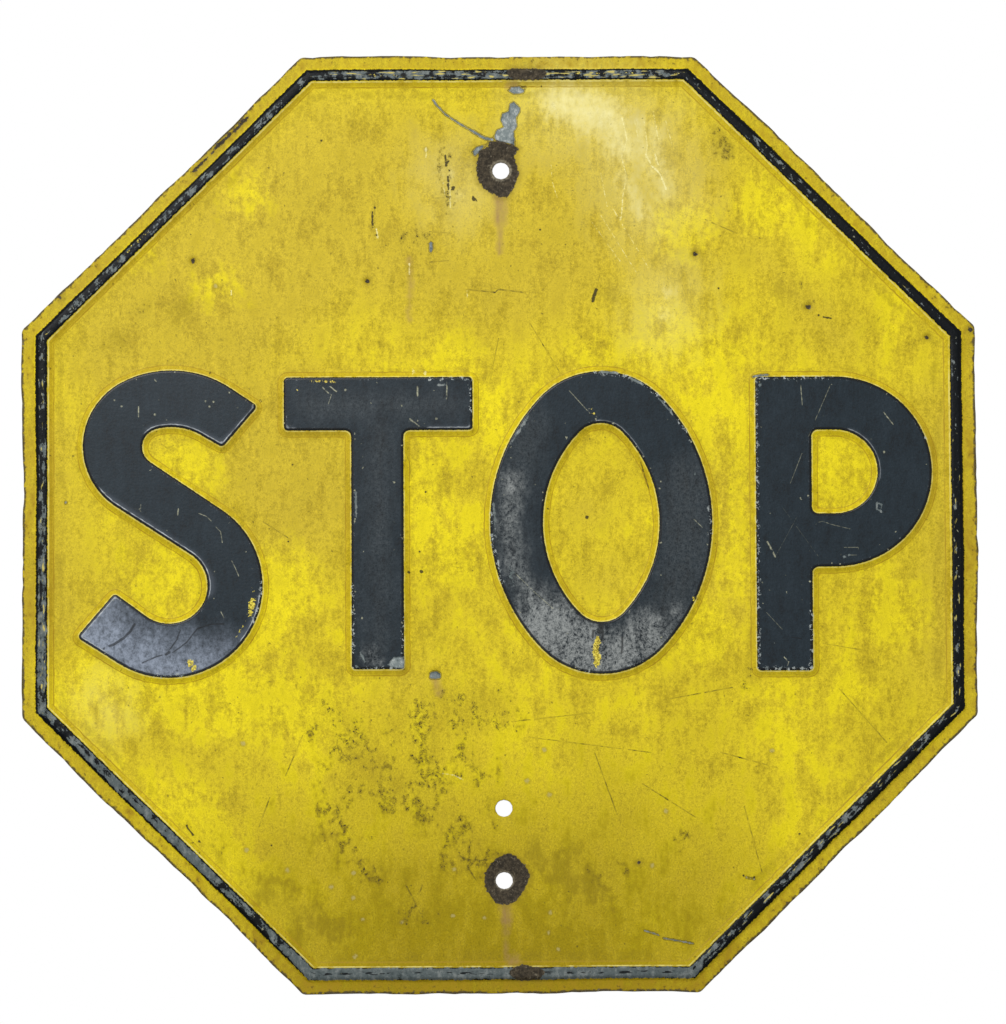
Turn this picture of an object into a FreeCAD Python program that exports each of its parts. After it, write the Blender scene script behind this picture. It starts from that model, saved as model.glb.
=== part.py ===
import FreeCAD, Part
import math
import os

import Sketcher

# A pressed steel stop sign, 24 inches across its flats. One sheet, raised in a rib round
# its border and in four block letters, with bolt holes for a post.
# Drawn seen from the front: X to the right, Z up, and the back face in the plane Y = 0.
# The sketches are centred on the octagon. The body is then placed so that the origin lies
# midway between the two post bolts.

# Driving sizes in millimetres, and slopes in degrees
SIZES = {
    # Sheet
    "across_flats": 609.6,
    "sheet_thickness": 1.5,
    "corner_radius": 6.0,
    # Pressing
    "emboss_height": 3.0,
    "wall_run": 3.75,
    "crest_bend": 1.2,
    "letter_corner": 2.4,
    "crook_foot": 0.85,
    # Border rib
    "rim_width": 8.2,
    "rib_outer_run": 1.4,
    "rib_top_width": 6.2,
    "rib_inner_run": 3.8,
    # Post holes, on one line
    "hole_line_x": 2.0,
    "top_hole_z": 230.0,
    "bolt_spacing": 462.0,
    "bolt_diameter": 11.1,
    "spare_hole_z": -185.5,
    "spare_diameter": 11.1,
    # Spaces in the row of letters
    "rib_ess_gap": 3.75,
    "ess_tee_gap": 14.4,
    "tee_oh_gap": 11.6,
    "oh_pee_gap": 28.7,
    "pee_rib_gap": 5.35,
    # Letter S: two crown and two shoulder arcs above, a round bowl below
    "ess_crown_outer_z": 31.1,
    "ess_crown_outer_radius": 67.9,
    "ess_crown_inner_z": 24.9,
    "ess_crown_inner_radius": 37.8,
    "ess_shoulder_outer_radius": 46.9,
    "ess_shoulder_outer_turn": 25.4,
    "ess_shoulder_inner_radius": 12.4,
    "ess_shoulder_inner_turn": 14.3,
    "ess_bowl_shift": -1.2,
    "ess_bowl_z": -41.0,
    "ess_bowl_radius": 59.4,
    "ess_bowl_stroke": 34.5,
    "ess_top_outer_slope": 34.2,
    "ess_top_inner_slope": 30.4,
    "ess_foot_inner_slope": 36.7,
    "ess_foot_outer_slope": 32.7,
    "ess_top_end_shift": 44.0,
    "ess_top_end_z": 62.5,
    "ess_foot_end_shift": -48.2,
    "ess_foot_end_z": -60.7,
    "ess_end_cut": 49.7,
    # Letter T
    "tee_bar_width": 120.0,
    "tee_top": 94.0,
    "tee_bar_height": 34.0,
    "tee_stem_shift": 43.0,
    "tee_stem_width": 32.7,
    "tee_height": 189.4,
    # Letter O, a ring of four arcs
    "oh_z": -0.9,
    "oh_half_height": 98.2,
    "oh_half_width": 70.6,
    "oh_end_radius": 52.5,
    "oh_stroke": 33.1,
    # Letter P
    "pee_stem_width": 35.0,
    "pee_top": 93.2,
    "pee_height": 190.5,
    "pee_bowl_reach": 15.2,
    "pee_bowl_radius": 61.6,
    "pee_bowl_stroke": 34.0,
}

NODE = "sign_face"
NEAR = 1e-4
SMOOTH = math.radians(5)
ORIGIN = -1
START, END, CENTRE = range(1, 4)
LETTERS = ("ess_", "tee_", "oh_", "pee_")
ANGLES = ("_turn", "_slope", "_cut")


class Size:
    """A number and the expression that gives it, so that shape and constraint agree."""

    def __init__(self, value, text):
        self.value = float(value)
        self.text = text

    def join(self, sign, other, value):
        other_text = other.text if isinstance(other, Size) else repr(float(other))
        return Size(value, "(%s %s %s)" % (self.text, sign, other_text))

    def __add__(self, other):
        return self.join("+", other, self.value + plain(other))

    def __sub__(self, other):
        return self.join("-", other, self.value - plain(other))

    def __mul__(self, other):
        return self.join("*", other, self.value * plain(other))

    def __truediv__(self, other):
        return self.join("/", other, self.value / plain(other))

    def __neg__(self):
        return Size(-self.value, "(-1 * %s)" % self.text)


def plain(size):
    return size.value if isinstance(size, Size) else float(size)


def spreadsheet(doc):
    sheet = doc.addObject("Spreadsheet::Sheet", "sheet")
    for row, (name, value) in enumerate(SIZES.items(), start=1):
        sheet.set("A%d" % row, name)
        sheet.set("B%d" % row, str(value))
        sheet.setAlias("B%d" % row, name)
    doc.recompute()
    return {name: Size(sheet.get(name), "sheet." + name) for name in SIZES}


def wall_shift(size, run):
    """How far the back of a sloped wall is set in, so that the sheet keeps its thickness."""
    slope = math.atan2(size["emboss_height"].value, run.value)
    text = "%s * tan(atan(%s / %s) / 2)" % (
        size["sheet_thickness"].text,
        size["emboss_height"].text,
        run.text,
    )
    return Size(size["sheet_thickness"].value * math.tan(slope / 2), "(%s)" % text)


class Drawing:
    """A sketch parallel to the sign's face, whose sizes are tied to the spreadsheet."""

    def __init__(self, body, name, plane="XZ_Plane", forward=None):
        self.sketch = body.newObject("Sketcher::SketchObject", name)
        planes = [f for f in body.Origin.OriginFeatures if f.Role == plane]
        self.sketch.AttachmentSupport = [(planes[0], "")]
        self.sketch.MapMode = "FlatFace"
        if forward is not None:
            self.sketch.AttachmentOffset.Base.z = forward.value
            self.sketch.setExpression("AttachmentOffset.Base.z", forward.text)

    def line(self, start, end):
        ends = [FreeCAD.Vector(plain(p[0]), plain(p[1]), 0) for p in (start, end)]
        return self.sketch.addGeometry(Part.LineSegment(*ends))

    def circle(self, centre, radius):
        middle = FreeCAD.Vector(plain(centre[0]), plain(centre[1]), 0)
        up = FreeCAD.Vector(0, 0, 1)
        index = self.sketch.addGeometry(Part.Circle(middle, up, plain(radius)))
        self.place(index, CENTRE, centre)
        self.tie("Radius", index, size=radius)
        return index

    def arc(self, centre, radius, start, end):
        """An arc that runs anticlockwise from one angle to the other, in radians."""
        middle = FreeCAD.Vector(plain(centre[0]), plain(centre[1]), 0)
        whole = Part.Circle(middle, FreeCAD.Vector(0, 0, 1), plain(radius))
        return self.sketch.addGeometry(Part.ArcOfCircle(whole, start, end))

    def tie(self, kind, *parts, size):
        index = self.sketch.addConstraint(Sketcher.Constraint(kind, *parts, plain(size)))
        if isinstance(size, Size):
            self.sketch.setExpression("Constraints[%d]" % index, size.text)

    def place(self, index, point, spot):
        self.tie("DistanceX", ORIGIN, START, index, point, size=spot[0])
        self.tie("DistanceY", ORIGIN, START, index, point, size=spot[1])

    def touch(self, kind, first, first_end, second, second_end):
        ends = (first, first_end, second, second_end)
        self.sketch.addConstraint(Sketcher.Constraint(kind, *ends))

    def polygon(self, corners):
        edges = []
        for start, end in zip(corners, corners[1:] + corners[:1]):
            edges.append(self.line(start, end))
            self.place(edges[-1], START, start)
        for edge, following in zip(edges, edges[1:] + edges[:1]):
            self.touch("Coincident", edge, END, following, START)

    def octagon(self, half_width):
        """A regular octagon, by the distance from its centre to a flat."""
        near = half_width * math.tan(math.pi / 8)
        far = half_width
        self.polygon(
            [
                (near, far),
                (-near, far),
                (-far, near),
                (-far, -near),
                (-near, -far),
                (near, -far),
                (far, -near),
                (far, near),
            ]
        )


def add(body, kind, name, **settings):
    feature = body.newObject("PartDesign::" + kind, name)
    for key, value in settings.items():
        setattr(feature, key, value)
    return feature


def settle(body):
    """Brings the body up to date. A slope finds its faces only on the second pass."""
    for _ in range(2):
        body.Document.recompute()


def pad_sheet(body, size):
    blank = Drawing(body, "blank_outline")
    blank.octagon(size["across_flats"] / 2)
    pad = add(body, "Pad", "blank", Profile=blank.sketch)
    pad.setExpression("Length", size["sheet_thickness"].text)
    face = size["sheet_thickness"].value
    round_edges(
        body,
        "rim_corners",
        size["corner_radius"],
        lambda shape, edge: spans(edge, 0, face),
    )


def lay_out(size):
    """The letters' sizes and places, in a row that fits between the two sides of the rib."""
    edge = rib_lines(size)[0] - size["wall_run"]
    ess_width = size["ess_crown_outer_radius"] + size["ess_bowl_shift"] + size["ess_bowl_radius"]
    tee_start = ess_width + size["ess_tee_gap"]
    oh_middle = tee_start + size["tee_bar_width"] + size["tee_oh_gap"] + size["oh_half_width"]
    pee_start = oh_middle + size["oh_half_width"] + size["oh_pee_gap"]
    pee_width = size["pee_stem_width"] + size["pee_bowl_reach"] + size["pee_bowl_radius"]
    room = edge * 2 - size["rib_ess_gap"] - size["pee_rib_gap"]
    fit = room / (pee_start + pee_width)
    start = size["rib_ess_gap"] - edge
    letters = dict(size)
    for name in SIZES:
        if name.startswith(LETTERS) and not name.endswith(ANGLES):
            letters[name] = size[name] * fit
    letters["ess_x"] = start + letters["ess_crown_outer_radius"]
    letters["tee_left"] = start + tee_start * fit
    letters["oh_x"] = start + oh_middle * fit
    letters["pee_left"] = start + pee_start * fit
    return letters


def draw_tee(drawing, size, grow, _):
    left = size["tee_left"] - grow
    right = size["tee_left"] + size["tee_bar_width"] + grow
    stem_left = size["tee_left"] + size["tee_stem_shift"] - grow
    stem_right = size["tee_left"] + size["tee_stem_shift"] + size["tee_stem_width"] + grow
    top = size["tee_top"] + grow
    under = size["tee_top"] - size["tee_bar_height"] - grow
    foot = size["tee_top"] - size["tee_height"] - grow
    drawing.polygon(
        [
            (left, top),
            (left, under),
            (stem_left, under),
            (stem_left, foot),
            (stem_right, foot),
            (stem_right, under),
            (right, under),
            (right, top),
        ]
    )


def half_bowl(drawing, centre, radius, left, upper, lower):
    """A half circle open to the left, with level lines from its ends to given points."""
    bowl = drawing.arc(centre, radius, -math.pi / 2, math.pi / 2)
    drawing.place(bowl, CENTRE, centre)
    drawing.tie("Radius", bowl, size=radius)
    over = drawing.line((centre[0], centre[1] + radius), (upper, centre[1] + radius))
    below = drawing.line((lower, centre[1] - radius), (centre[0], centre[1] - radius))
    drawing.touch("Tangent", bowl, END, over, START)
    drawing.touch("Tangent", below, END, bowl, START)
    for edge in (over, below):
        drawing.sketch.addConstraint(Sketcher.Constraint("Horizontal", edge))
    drawing.tie("DistanceX", ORIGIN, START, over, END, size=upper)
    drawing.tie("DistanceX", ORIGIN, START, below, START, size=lower)
    return over, below


def draw_pee(drawing, size, grow, _):
    left = size["pee_left"] - grow
    stem = size["pee_left"] + size["pee_stem_width"]
    centre = (stem + size["pee_bowl_reach"], size["pee_top"] - size["pee_bowl_radius"])
    foot = size["pee_top"] - size["pee_height"] - grow
    outer = size["pee_bowl_radius"] + grow
    over, below = half_bowl(drawing, centre, outer, left, left, stem + grow)
    back = drawing.line((left, centre[1] + outer), (left, foot))
    base = drawing.line((left, foot), (stem + grow, foot))
    front = drawing.line((stem + grow, foot), (stem + grow, centre[1] - outer))
    for first, second in ((over, back), (back, base), (base, front), (front, below)):
        drawing.touch("Coincident", first, END, second, START)
    drawing.place(base, START, (left, foot))
    drawing.place(base, END, (stem + grow, foot))
    inner = size["pee_bowl_radius"] - size["pee_bowl_stroke"] - grow
    over, below = half_bowl(drawing, centre, inner, stem + grow, stem + grow, stem + grow)
    side = drawing.line(
        (stem + grow, centre[1] + inner), (stem + grow, centre[1] - inner)
    )
    drawing.touch("Coincident", over, END, side, START)
    drawing.touch("Coincident", side, END, below, START)


def oval(drawing, centre, half_height, half_width, end_radius, grow):
    """An upright oval of four arcs that run smoothly into each other, grown by a margin."""
    lift = half_height - end_radius
    side_radius = (lift * lift + half_width * half_width - end_radius * end_radius) / (
        (half_width - end_radius) * 2
    )
    shift = side_radius - half_width
    turn = math.atan2(lift.value, shift.value)
    ends = end_radius + grow
    sides = side_radius + grow
    x, z = centre
    arcs = [
        drawing.arc((x - shift, z), sides, -turn, turn),
        drawing.arc((x, z + lift), ends, turn, math.pi - turn),
        drawing.arc((x + shift, z), sides, math.pi - turn, math.pi + turn),
        drawing.arc((x, z - lift), ends, math.pi + turn, 2 * math.pi - turn),
    ]
    for arc, following in zip(arcs, arcs[1:] + arcs[:1]):
        drawing.touch("Tangent", arc, END, following, START)
    drawing.place(arcs[1], CENTRE, (x, z + lift))
    drawing.place(arcs[3], CENTRE, (x, z - lift))
    drawing.tie("Radius", arcs[1], size=ends)
    drawing.tie("Radius", arcs[3], size=ends)
    drawing.tie("Radius", arcs[0], size=sides)
    drawing.tie("Radius", arcs[2], size=sides)


def draw_oh(drawing, size, grow, _):
    centre = (size["oh_x"], size["oh_z"])
    ring = (size["oh_half_height"], size["oh_half_width"], size["oh_end_radius"])
    oval(drawing, centre, *ring, grow)
    oval(drawing, centre, *ring, -(size["oh_stroke"] + grow))


def meet(first, first_angle, second, second_angle):
    """Where two lines cross, each given by a point and an angle in radians."""
    ax, az = math.cos(first_angle), math.sin(first_angle)
    bx, bz = math.cos(second_angle), math.sin(second_angle)
    dx, dz = second[0] - first[0], second[1] - first[1]
    along = (dx * bz - dz * bx) / (ax * bz - az * bx)
    return first[0] + ax * along, first[1] + az * along


def rim_point(centre, radius, angle):
    return centre[0] + radius * math.cos(angle), centre[1] + radius * math.sin(angle)


def ess_edge(drawing, crown, shoulder_radius, turn, bowl, slopes, cuts):
    """One long edge of the S: straight end, crown, shoulder, spine, bowl, straight end.

    crown and bowl hold x, z and radius, and cuts hold the lines that end the stroke.
    """
    crown_spot, crown_radius = crown[:2], crown[2].value
    crown_at = (crown[0].value, crown[1].value)
    bowl_at = (bowl[0].value, bowl[1].value)
    bowl_radius = bowl[2].value
    upper = math.pi / 2 - math.radians(slopes[0])
    switch = math.pi / 2 + math.radians(turn.value)
    small = shoulder_radius.value
    shoulder_at = rim_point(crown_at, crown_radius - small, switch)
    dx, dz = bowl_at[0] - shoulder_at[0], bowl_at[1] - shoulder_at[1]
    apart = math.hypot(dx, dz)
    leave = math.atan2(dz, dx) - math.acos((small + bowl_radius) / apart)
    leave += 2 * math.pi
    lower = -math.pi / 2 - math.radians(slopes[1])
    touch_top = rim_point(crown_at, crown_radius, upper)
    touch_foot = rim_point(bowl_at, bowl_radius, lower)
    head = meet(touch_top, upper - math.pi / 2, *cuts[0])
    foot = meet(touch_foot, lower - math.pi / 2, *cuts[1])
    first = drawing.line(head, touch_top)
    crown_arc = drawing.arc(crown_spot, crown[2], upper, switch)
    shoulder = drawing.arc(shoulder_at, shoulder_radius, switch, leave)
    spine = drawing.line(
        rim_point(shoulder_at, small, leave),
        rim_point(bowl_at, bowl_radius, leave - math.pi),
    )
    bowl_arc = drawing.arc(bowl[:2], bowl[2], lower, leave - math.pi)
    last = drawing.line(touch_foot, foot)
    drawing.touch("Tangent", first, END, crown_arc, START)
    drawing.touch("Tangent", crown_arc, END, shoulder, START)
    drawing.touch("Tangent", shoulder, END, spine, START)
    drawing.touch("Tangent", spine, END, bowl_arc, END)
    drawing.touch("Tangent", bowl_arc, START, last, START)
    drawing.place(crown_arc, CENTRE, crown_spot)
    drawing.place(bowl_arc, CENTRE, bowl[:2])
    drawing.tie("Radius", crown_arc, size=crown[2])
    drawing.tie("Radius", shoulder, size=shoulder_radius)
    drawing.tie("Radius", bowl_arc, size=bowl[2])
    return first, head, last, foot


def draw_ess(drawing, size, grow, _):
    cut = math.radians(size["ess_end_cut"].value)
    outward = grow.value
    middle = size["ess_x"]
    top_cut = (
        middle.value + size["ess_top_end_shift"].value + outward * math.sin(cut),
        size["ess_top_end_z"].value - outward * math.cos(cut),
    )
    foot_cut = (
        middle.value + size["ess_foot_end_shift"].value - outward * math.sin(cut),
        size["ess_foot_end_z"].value + outward * math.cos(cut),
    )
    cuts = ((top_cut, cut), (foot_cut, cut))
    outer_crown = (
        middle,
        size["ess_crown_outer_z"],
        size["ess_crown_outer_radius"] + grow,
    )
    inner_crown = (
        middle,
        size["ess_crown_inner_z"],
        size["ess_crown_inner_radius"] - grow,
    )
    bowl = (middle + size["ess_bowl_shift"], size["ess_bowl_z"])
    inside = size["ess_bowl_radius"] - size["ess_bowl_stroke"] - grow
    long_edge = ess_edge(
        drawing,
        outer_crown,
        size["ess_shoulder_outer_radius"] + grow,
        size["ess_shoulder_outer_turn"],
        bowl + (inside,),
        (size["ess_top_outer_slope"].value, size["ess_foot_inner_slope"].value),
        cuts,
    )
    short_edge = ess_edge(
        drawing,
        inner_crown,
        size["ess_shoulder_inner_radius"] - grow,
        size["ess_shoulder_inner_turn"],
        bowl + (size["ess_bowl_radius"] + grow,),
        (size["ess_top_inner_slope"].value, size["ess_foot_outer_slope"].value),
        cuts,
    )
    top_end = drawing.line(short_edge[1], long_edge[1])
    foot_end = drawing.line(long_edge[3], short_edge[3])
    drawing.touch("Coincident", short_edge[0], START, top_end, START)
    drawing.touch("Coincident", top_end, END, long_edge[0], START)
    drawing.touch("Coincident", long_edge[2], END, foot_end, START)
    drawing.touch("Coincident", foot_end, END, short_edge[2], END)


def raise_forms(body, size):
    """The rib and the letters on the front, with their walls leaned outwards."""
    still = size["sheet_thickness"] * 0
    for name, draw in FORMS.items():
        front = Drawing(body, name + "_top", forward=size["sheet_thickness"])
        draw(front, size, still, (still, still))
        raised = add(body, "Pad", name + "_raised", Profile=front.sketch)
        raised.setExpression("Length", size["emboss_height"].text)
    face = size["sheet_thickness"].value
    round_corners(body, size, "front", face, still)
    slope_walls(body, size, "front", face, face + size["emboss_height"].value)


def sink_forms(body, size):
    """The hollows behind the rib and the letters, a sheet's thickness from their fronts."""
    shift = wall_shift(size, size["wall_run"])
    inner_shift = wall_shift(size, size["rib_inner_run"])
    outer_shift = wall_shift(size, size["rib_outer_run"])
    for name, draw in FORMS.items():
        back = Drawing(body, name + "_floor")
        draw(back, size, -shift, (inner_shift, outer_shift))
        sunk = add(body, "Pocket", name + "_hollow", Profile=back.sketch, Reversed=True)
        sunk.setExpression("Length", size["emboss_height"].text)
    round_corners(body, size, "hollow", 0, shift)
    slope_walls(body, size, "hollow", 0, size["emboss_height"].value)


def rib_lines(size):
    """How far from the centre the rib's inner foot, inner top, outer top and foot run."""
    outer_foot = size["across_flats"] / 2 - size["rim_width"]
    outer_top = outer_foot - size["rib_outer_run"]
    inner_top = outer_top - size["rib_top_width"]
    return inner_top - size["rib_inner_run"], inner_top, outer_top, outer_foot


def draw_rib(drawing, size, grow, shifts):
    inner_foot, inner_top, outer_top, outer_foot = rib_lines(size)
    drawing.octagon(outer_top - shifts[1])
    drawing.octagon(inner_top + shifts[0])


def leans_sharply(shape, edge):
    """Whether two faces meet at an angle along an edge, and don't run into each other."""
    middle = edge.valueAt((edge.FirstParameter + edge.LastParameter) / 2)
    normals = []
    for face in shape.ancestorsOfType(edge, Part.Face):
        normals.append(face.normalAt(*face.Surface.parameter(middle)))
    return len(normals) == 2 and normals[0].getAngle(normals[1]) > SMOOTH


def is_reentrant(shape, edge, hollow):
    """Whether a corner of a letter is an inner one. In a hollow, the metal is outside."""
    middle = edge.valueAt((edge.FirstParameter + edge.LastParameter) / 2)
    first, second = shape.ancestorsOfType(edge, Part.Face)
    outward = first.normalAt(*first.Surface.parameter(middle))
    away = second.CenterOfMass - middle
    return (outward.dot(away) > 0) != hollow


def flat_distance(point):
    """How far out a point lies, as the distance to the flat of the octagon through it."""
    across, up = abs(point.x), abs(point.z)
    return max(across, up, (across + up) / math.sqrt(2))


def heights(edge):
    return sorted(-vertex.Point.y for vertex in edge.Vertexes)


def spans(edge, low, high):
    ends = heights(edge)
    return abs(ends[0] - low) < NEAR and abs(ends[-1] - high) < NEAR


def round_edges(body, name, radius, chosen):
    """Rounds the edges of the form so far that a test picks."""
    settle(body)
    base = body.Tip
    picked = [
        "Edge%d" % number
        for number, edge in enumerate(base.Shape.Edges, start=1)
        if chosen(base.Shape, edge)
    ]
    fillet = add(body, "Fillet", name, Base=(base, picked))
    fillet.setExpression("Radius", radius.text)


def round_corners(body, size, side, low, shift):
    """The upright corners of the letters, outward ones and re-entrant ones."""
    high = low + size["emboss_height"].value
    rib_foot = rib_lines(size)[0].value

    def on_letter(shape, edge, reentrant):
        inside = flat_distance(edge.BoundBox.Center) < rib_foot
        if not (inside and spans(edge, low, high) and leans_sharply(shape, edge)):
            return False
        return is_reentrant(shape, edge, side == "hollow") == reentrant

    for kind, radius, reentrant in (
        ("corners", size["letter_corner"] - shift, False),
        ("crooks", size["wall_run"] + size["crook_foot"] + shift, True),
    ):
        round_edges(
            body,
            side + "_" + kind,
            radius,
            lambda shape, edge, reentrant=reentrant: on_letter(shape, edge, reentrant),
        )


def slope_walls(body, size, side, low, high):
    """Leans the upright walls outwards: of the letters, and of the rib's two sides."""
    foot, inner_top, outer_top, outer_foot = [line.value for line in rib_lines(size)]
    middle = (inner_top + outer_top) / 2
    walls = (
        ("letter", size["wall_run"], 0, foot),
        ("rib_inner", size["rib_inner_run"], foot, middle),
        ("rib_outer", size["rib_outer_run"], middle, outer_foot),
    )
    for name, run, near, far in walls:
        settle(body)
        base = body.Tip
        faces = list(enumerate(base.Shape.Faces, start=1))
        level = ["Face%d" % number for number, face in faces if lies_at(face, high)]
        upright = [
            "Face%d" % number
            for number, face in faces
            if stands(face, low, high) and near < wall_distance(face) < far
        ]
        slope = add(body, "Draft", "%s_%s_slope" % (side, name), Base=(base, upright))
        slope.NeutralPlane = (base, level[:1])
        slope.Reversed = side == "front"
        slope.setExpression("Angle", "atan(%s / %s)" % (run.text, size["emboss_height"].text))


def lies_at(face, level):
    box = face.BoundBox
    return box.YLength < NEAR and abs(box.YMin + level) < NEAR


def stands(face, low, high):
    box = face.BoundBox
    return abs(box.YMax + low) < NEAR and abs(box.YMin + high) < NEAR


def wall_distance(face):
    return max(flat_distance(vertex.Point) for vertex in face.Vertexes)


def round_crests(body, size):
    """The bends round the flat tops of the rib and the letters."""
    crest = size["sheet_thickness"].value + size["emboss_height"].value

    def on_crest(shape, edge):
        return spans(edge, crest, crest) and leans_sharply(shape, edge)

    round_edges(body, "crest_bends", size["crest_bend"], on_crest)


FORMS = {
    "rib": draw_rib,
    "ess": draw_ess,
    "tee": draw_tee,
    "oh": draw_oh,
    "pee": draw_pee,
}


def through(body, name, drawing):
    """Cuts a drawing's shapes out of the sheet."""
    add(body, "Pocket", name, Profile=drawing.sketch, Type="ThroughAll", Reversed=True)


def drill(body, size):
    """The post bolt holes with the spare one."""
    bolts = Drawing(body, "bolt_holes")
    line_x = size["hole_line_x"]
    radius = size["bolt_diameter"] / 2
    bolts.circle((line_x, size["top_hole_z"]), radius)
    bolts.circle((line_x, size["top_hole_z"] - size["bolt_spacing"]), radius)
    bolts.circle((line_x, size["spare_hole_z"]), size["spare_diameter"] / 2)
    through(body, "bolt_holes_cut", bolts)


def build():
    doc = FreeCAD.newDocument("stop_sign")
    size = lay_out(spreadsheet(doc))
    body = doc.addObject("PartDesign::Body", NODE)
    body.Label = NODE
    bolt_middle = size["top_hole_z"] - size["bolt_spacing"] / 2
    body.setExpression("Placement.Base.x", (-size["hole_line_x"]).text)
    body.setExpression("Placement.Base.z", (-bolt_middle).text)
    pad_sheet(body, size)
    raise_forms(body, size)
    sink_forms(body, size)
    round_crests(body, size)
    drill(body, size)
    settle(body)
    return doc, body


def check(doc, body):
    for item in doc.Objects:
        if "Invalid" in item.State or "Error" in item.State:
            raise RuntimeError("%s failed: %s" % (item.Name, item.State))
    if body.Shape.isNull() or not body.Shape.isValid():
        raise RuntimeError("the body's shape isn't sound")


document, sign = build()
check(document, sign)
os.makedirs("parts", exist_ok=True)
sign.Shape.exportStep("parts/%s.step" % sign.Label)
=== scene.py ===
"""An old octagonal stop sign, pressed from one steel sheet and much worn.

The sheet is one piece with two faces. Its shape comes from the same lines and arcs as the part's
source: a rib along the border and four raised letters, with matching hollows behind. On top of it
lie the soft bends, the bumps and the coats of paint that decades outdoors have left.
"""

import logging
import math
from dataclasses import dataclass, field
from enum import Enum
from functools import cached_property
from typing import ClassVar

import bpy
import numpy as np
from mathutils import Matrix, Vector
from mathutils.geometry import delaunay_2d_cdt


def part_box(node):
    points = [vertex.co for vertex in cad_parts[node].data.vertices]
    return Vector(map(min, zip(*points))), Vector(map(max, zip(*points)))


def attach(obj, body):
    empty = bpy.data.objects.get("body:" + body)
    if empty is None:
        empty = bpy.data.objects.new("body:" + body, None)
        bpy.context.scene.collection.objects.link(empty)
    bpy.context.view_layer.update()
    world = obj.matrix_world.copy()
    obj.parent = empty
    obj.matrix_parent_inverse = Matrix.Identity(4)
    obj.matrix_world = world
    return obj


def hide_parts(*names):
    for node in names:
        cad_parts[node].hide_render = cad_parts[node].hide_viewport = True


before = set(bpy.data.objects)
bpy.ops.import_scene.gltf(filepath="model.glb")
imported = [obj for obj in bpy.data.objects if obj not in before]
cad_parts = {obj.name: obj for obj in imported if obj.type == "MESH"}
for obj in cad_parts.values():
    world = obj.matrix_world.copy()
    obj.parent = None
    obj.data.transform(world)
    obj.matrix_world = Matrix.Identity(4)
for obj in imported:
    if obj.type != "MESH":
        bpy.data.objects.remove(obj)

NODE = "sign_face"
BODY = "root"
MM = 0.001
SIDES = 8
HALF_SIDE_TURN = math.pi / SIDES
NUDGE = 1e-6
FULL_TURN = 2 * math.pi
QUARTER_TURN = math.pi / 2
Spots = np.ndarray
Colour = tuple[float, float, float, float]

log = logging.getLogger("stop_sign")


# Plan curves. A spot is x + z*1j in millimetres, seen from the front, from the sheet's middle.


@dataclass(frozen=True)
class Line:
    """A straight run, with the raised metal on its left."""

    start: complex
    end: complex
    fewest: ClassVar[int] = 2

    @property
    def heading(self) -> complex:
        """The unit vector along the run."""
        return (self.end - self.start) / abs(self.end - self.start)

    def reach(self, spots: Spots) -> tuple[Spots, Spots]:
        """Measures how far spots are from the run, and on which side.

        Args:
            spots: where to measure.

        Returns:
            The distances, and 1 on the right of the run or -1 on its left.
        """
        local = (spots - self.start) * self.heading.conjugate()
        along = np.clip(local.real, 0, abs(self.end - self.start))
        beyond = np.abs(local.real - along) > 0
        distance = np.abs(local - along) + NUDGE * beyond
        return distance, np.where(local.imag > 0, -1.0, 1.0)

    def walk(self, step: float) -> tuple[Spots, Spots]:
        """Places spots along the run.

        Args:
            step: the largest gap between two spots.

        Returns:
            The spots without the last one, and the unit vectors to the right of each.
        """
        count = max(self.fewest, math.ceil(abs(self.end - self.start) / step))
        spots = self.start + (self.end - self.start) * np.arange(count) / count
        return spots, np.full(count, -1j * self.heading)

    def back(self) -> "Line":
        """The same run the other way."""
        return Line(self.end, self.start)


@dataclass(frozen=True)
class Arc:
    """Part of a circle from one angle to another, with the raised metal on its left."""

    centre: complex
    radius: float
    first: float
    last: float
    fewest: ClassVar[int] = 3
    widest_turn: ClassVar[float] = 0.22

    @property
    def turn(self) -> float:
        """1 where the arc runs anticlockwise and -1 where it runs clockwise."""
        return math.copysign(1.0, self.last - self.first)

    def at(self, angle: float) -> complex:
        """The spot on the circle at an angle."""
        return self.centre + self.radius * complex(math.cos(angle), math.sin(angle))

    def reach(self, spots: Spots) -> tuple[Spots, Spots]:
        """Measures how far spots are from the arc, and on which side.

        Args:
            spots: where to measure.

        Returns:
            The distances, and 1 on the right of the arc or -1 on its left.
        """
        local = spots - self.centre
        swept = np.mod((np.angle(local) - self.first) * self.turn, FULL_TURN)
        beside = np.abs(np.abs(local) - self.radius)
        ends = np.minimum(np.abs(spots - self.at(self.first)), np.abs(spots - self.at(self.last)))
        within = swept <= abs(self.last - self.first)
        distance = np.where(within, beside, ends + NUDGE)
        return distance, np.where(np.abs(local) > self.radius, self.turn, -self.turn)

    def walk(self, step: float) -> tuple[Spots, Spots]:
        """Places spots along the arc.

        Args:
            step: the largest gap between two spots.

        Returns:
            The spots without the last one, and the unit vectors to the right of each.
        """
        sweep = self.last - self.first
        by_length = math.ceil(abs(sweep) * self.radius / step)
        by_turn = math.ceil(abs(sweep) / self.widest_turn)
        count = max(self.fewest, by_length, by_turn)
        spokes = np.exp(1j * (self.first + sweep * np.arange(count) / count))
        return self.centre + self.radius * spokes, spokes * self.turn

    def back(self) -> "Arc":
        """The same arc the other way."""
        return Arc(self.centre, self.radius, self.last, self.first)


Run = Line | Arc


def spokes(count: int) -> Spots:
    """Unit vectors in even directions all the way round."""
    return np.exp(1j * FULL_TURN * np.arange(count) / count)


def reversed_runs(runs: list[Run]) -> list[Run]:
    """The same path walked from its end to its start."""
    return [run.back() for run in reversed(runs)]


def polygon(corners: list[complex]) -> list[Run]:
    """The straight runs round a closed shape."""
    return [Line(a, b) for a, b in zip(corners, corners[1:] + corners[:1])]


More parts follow.
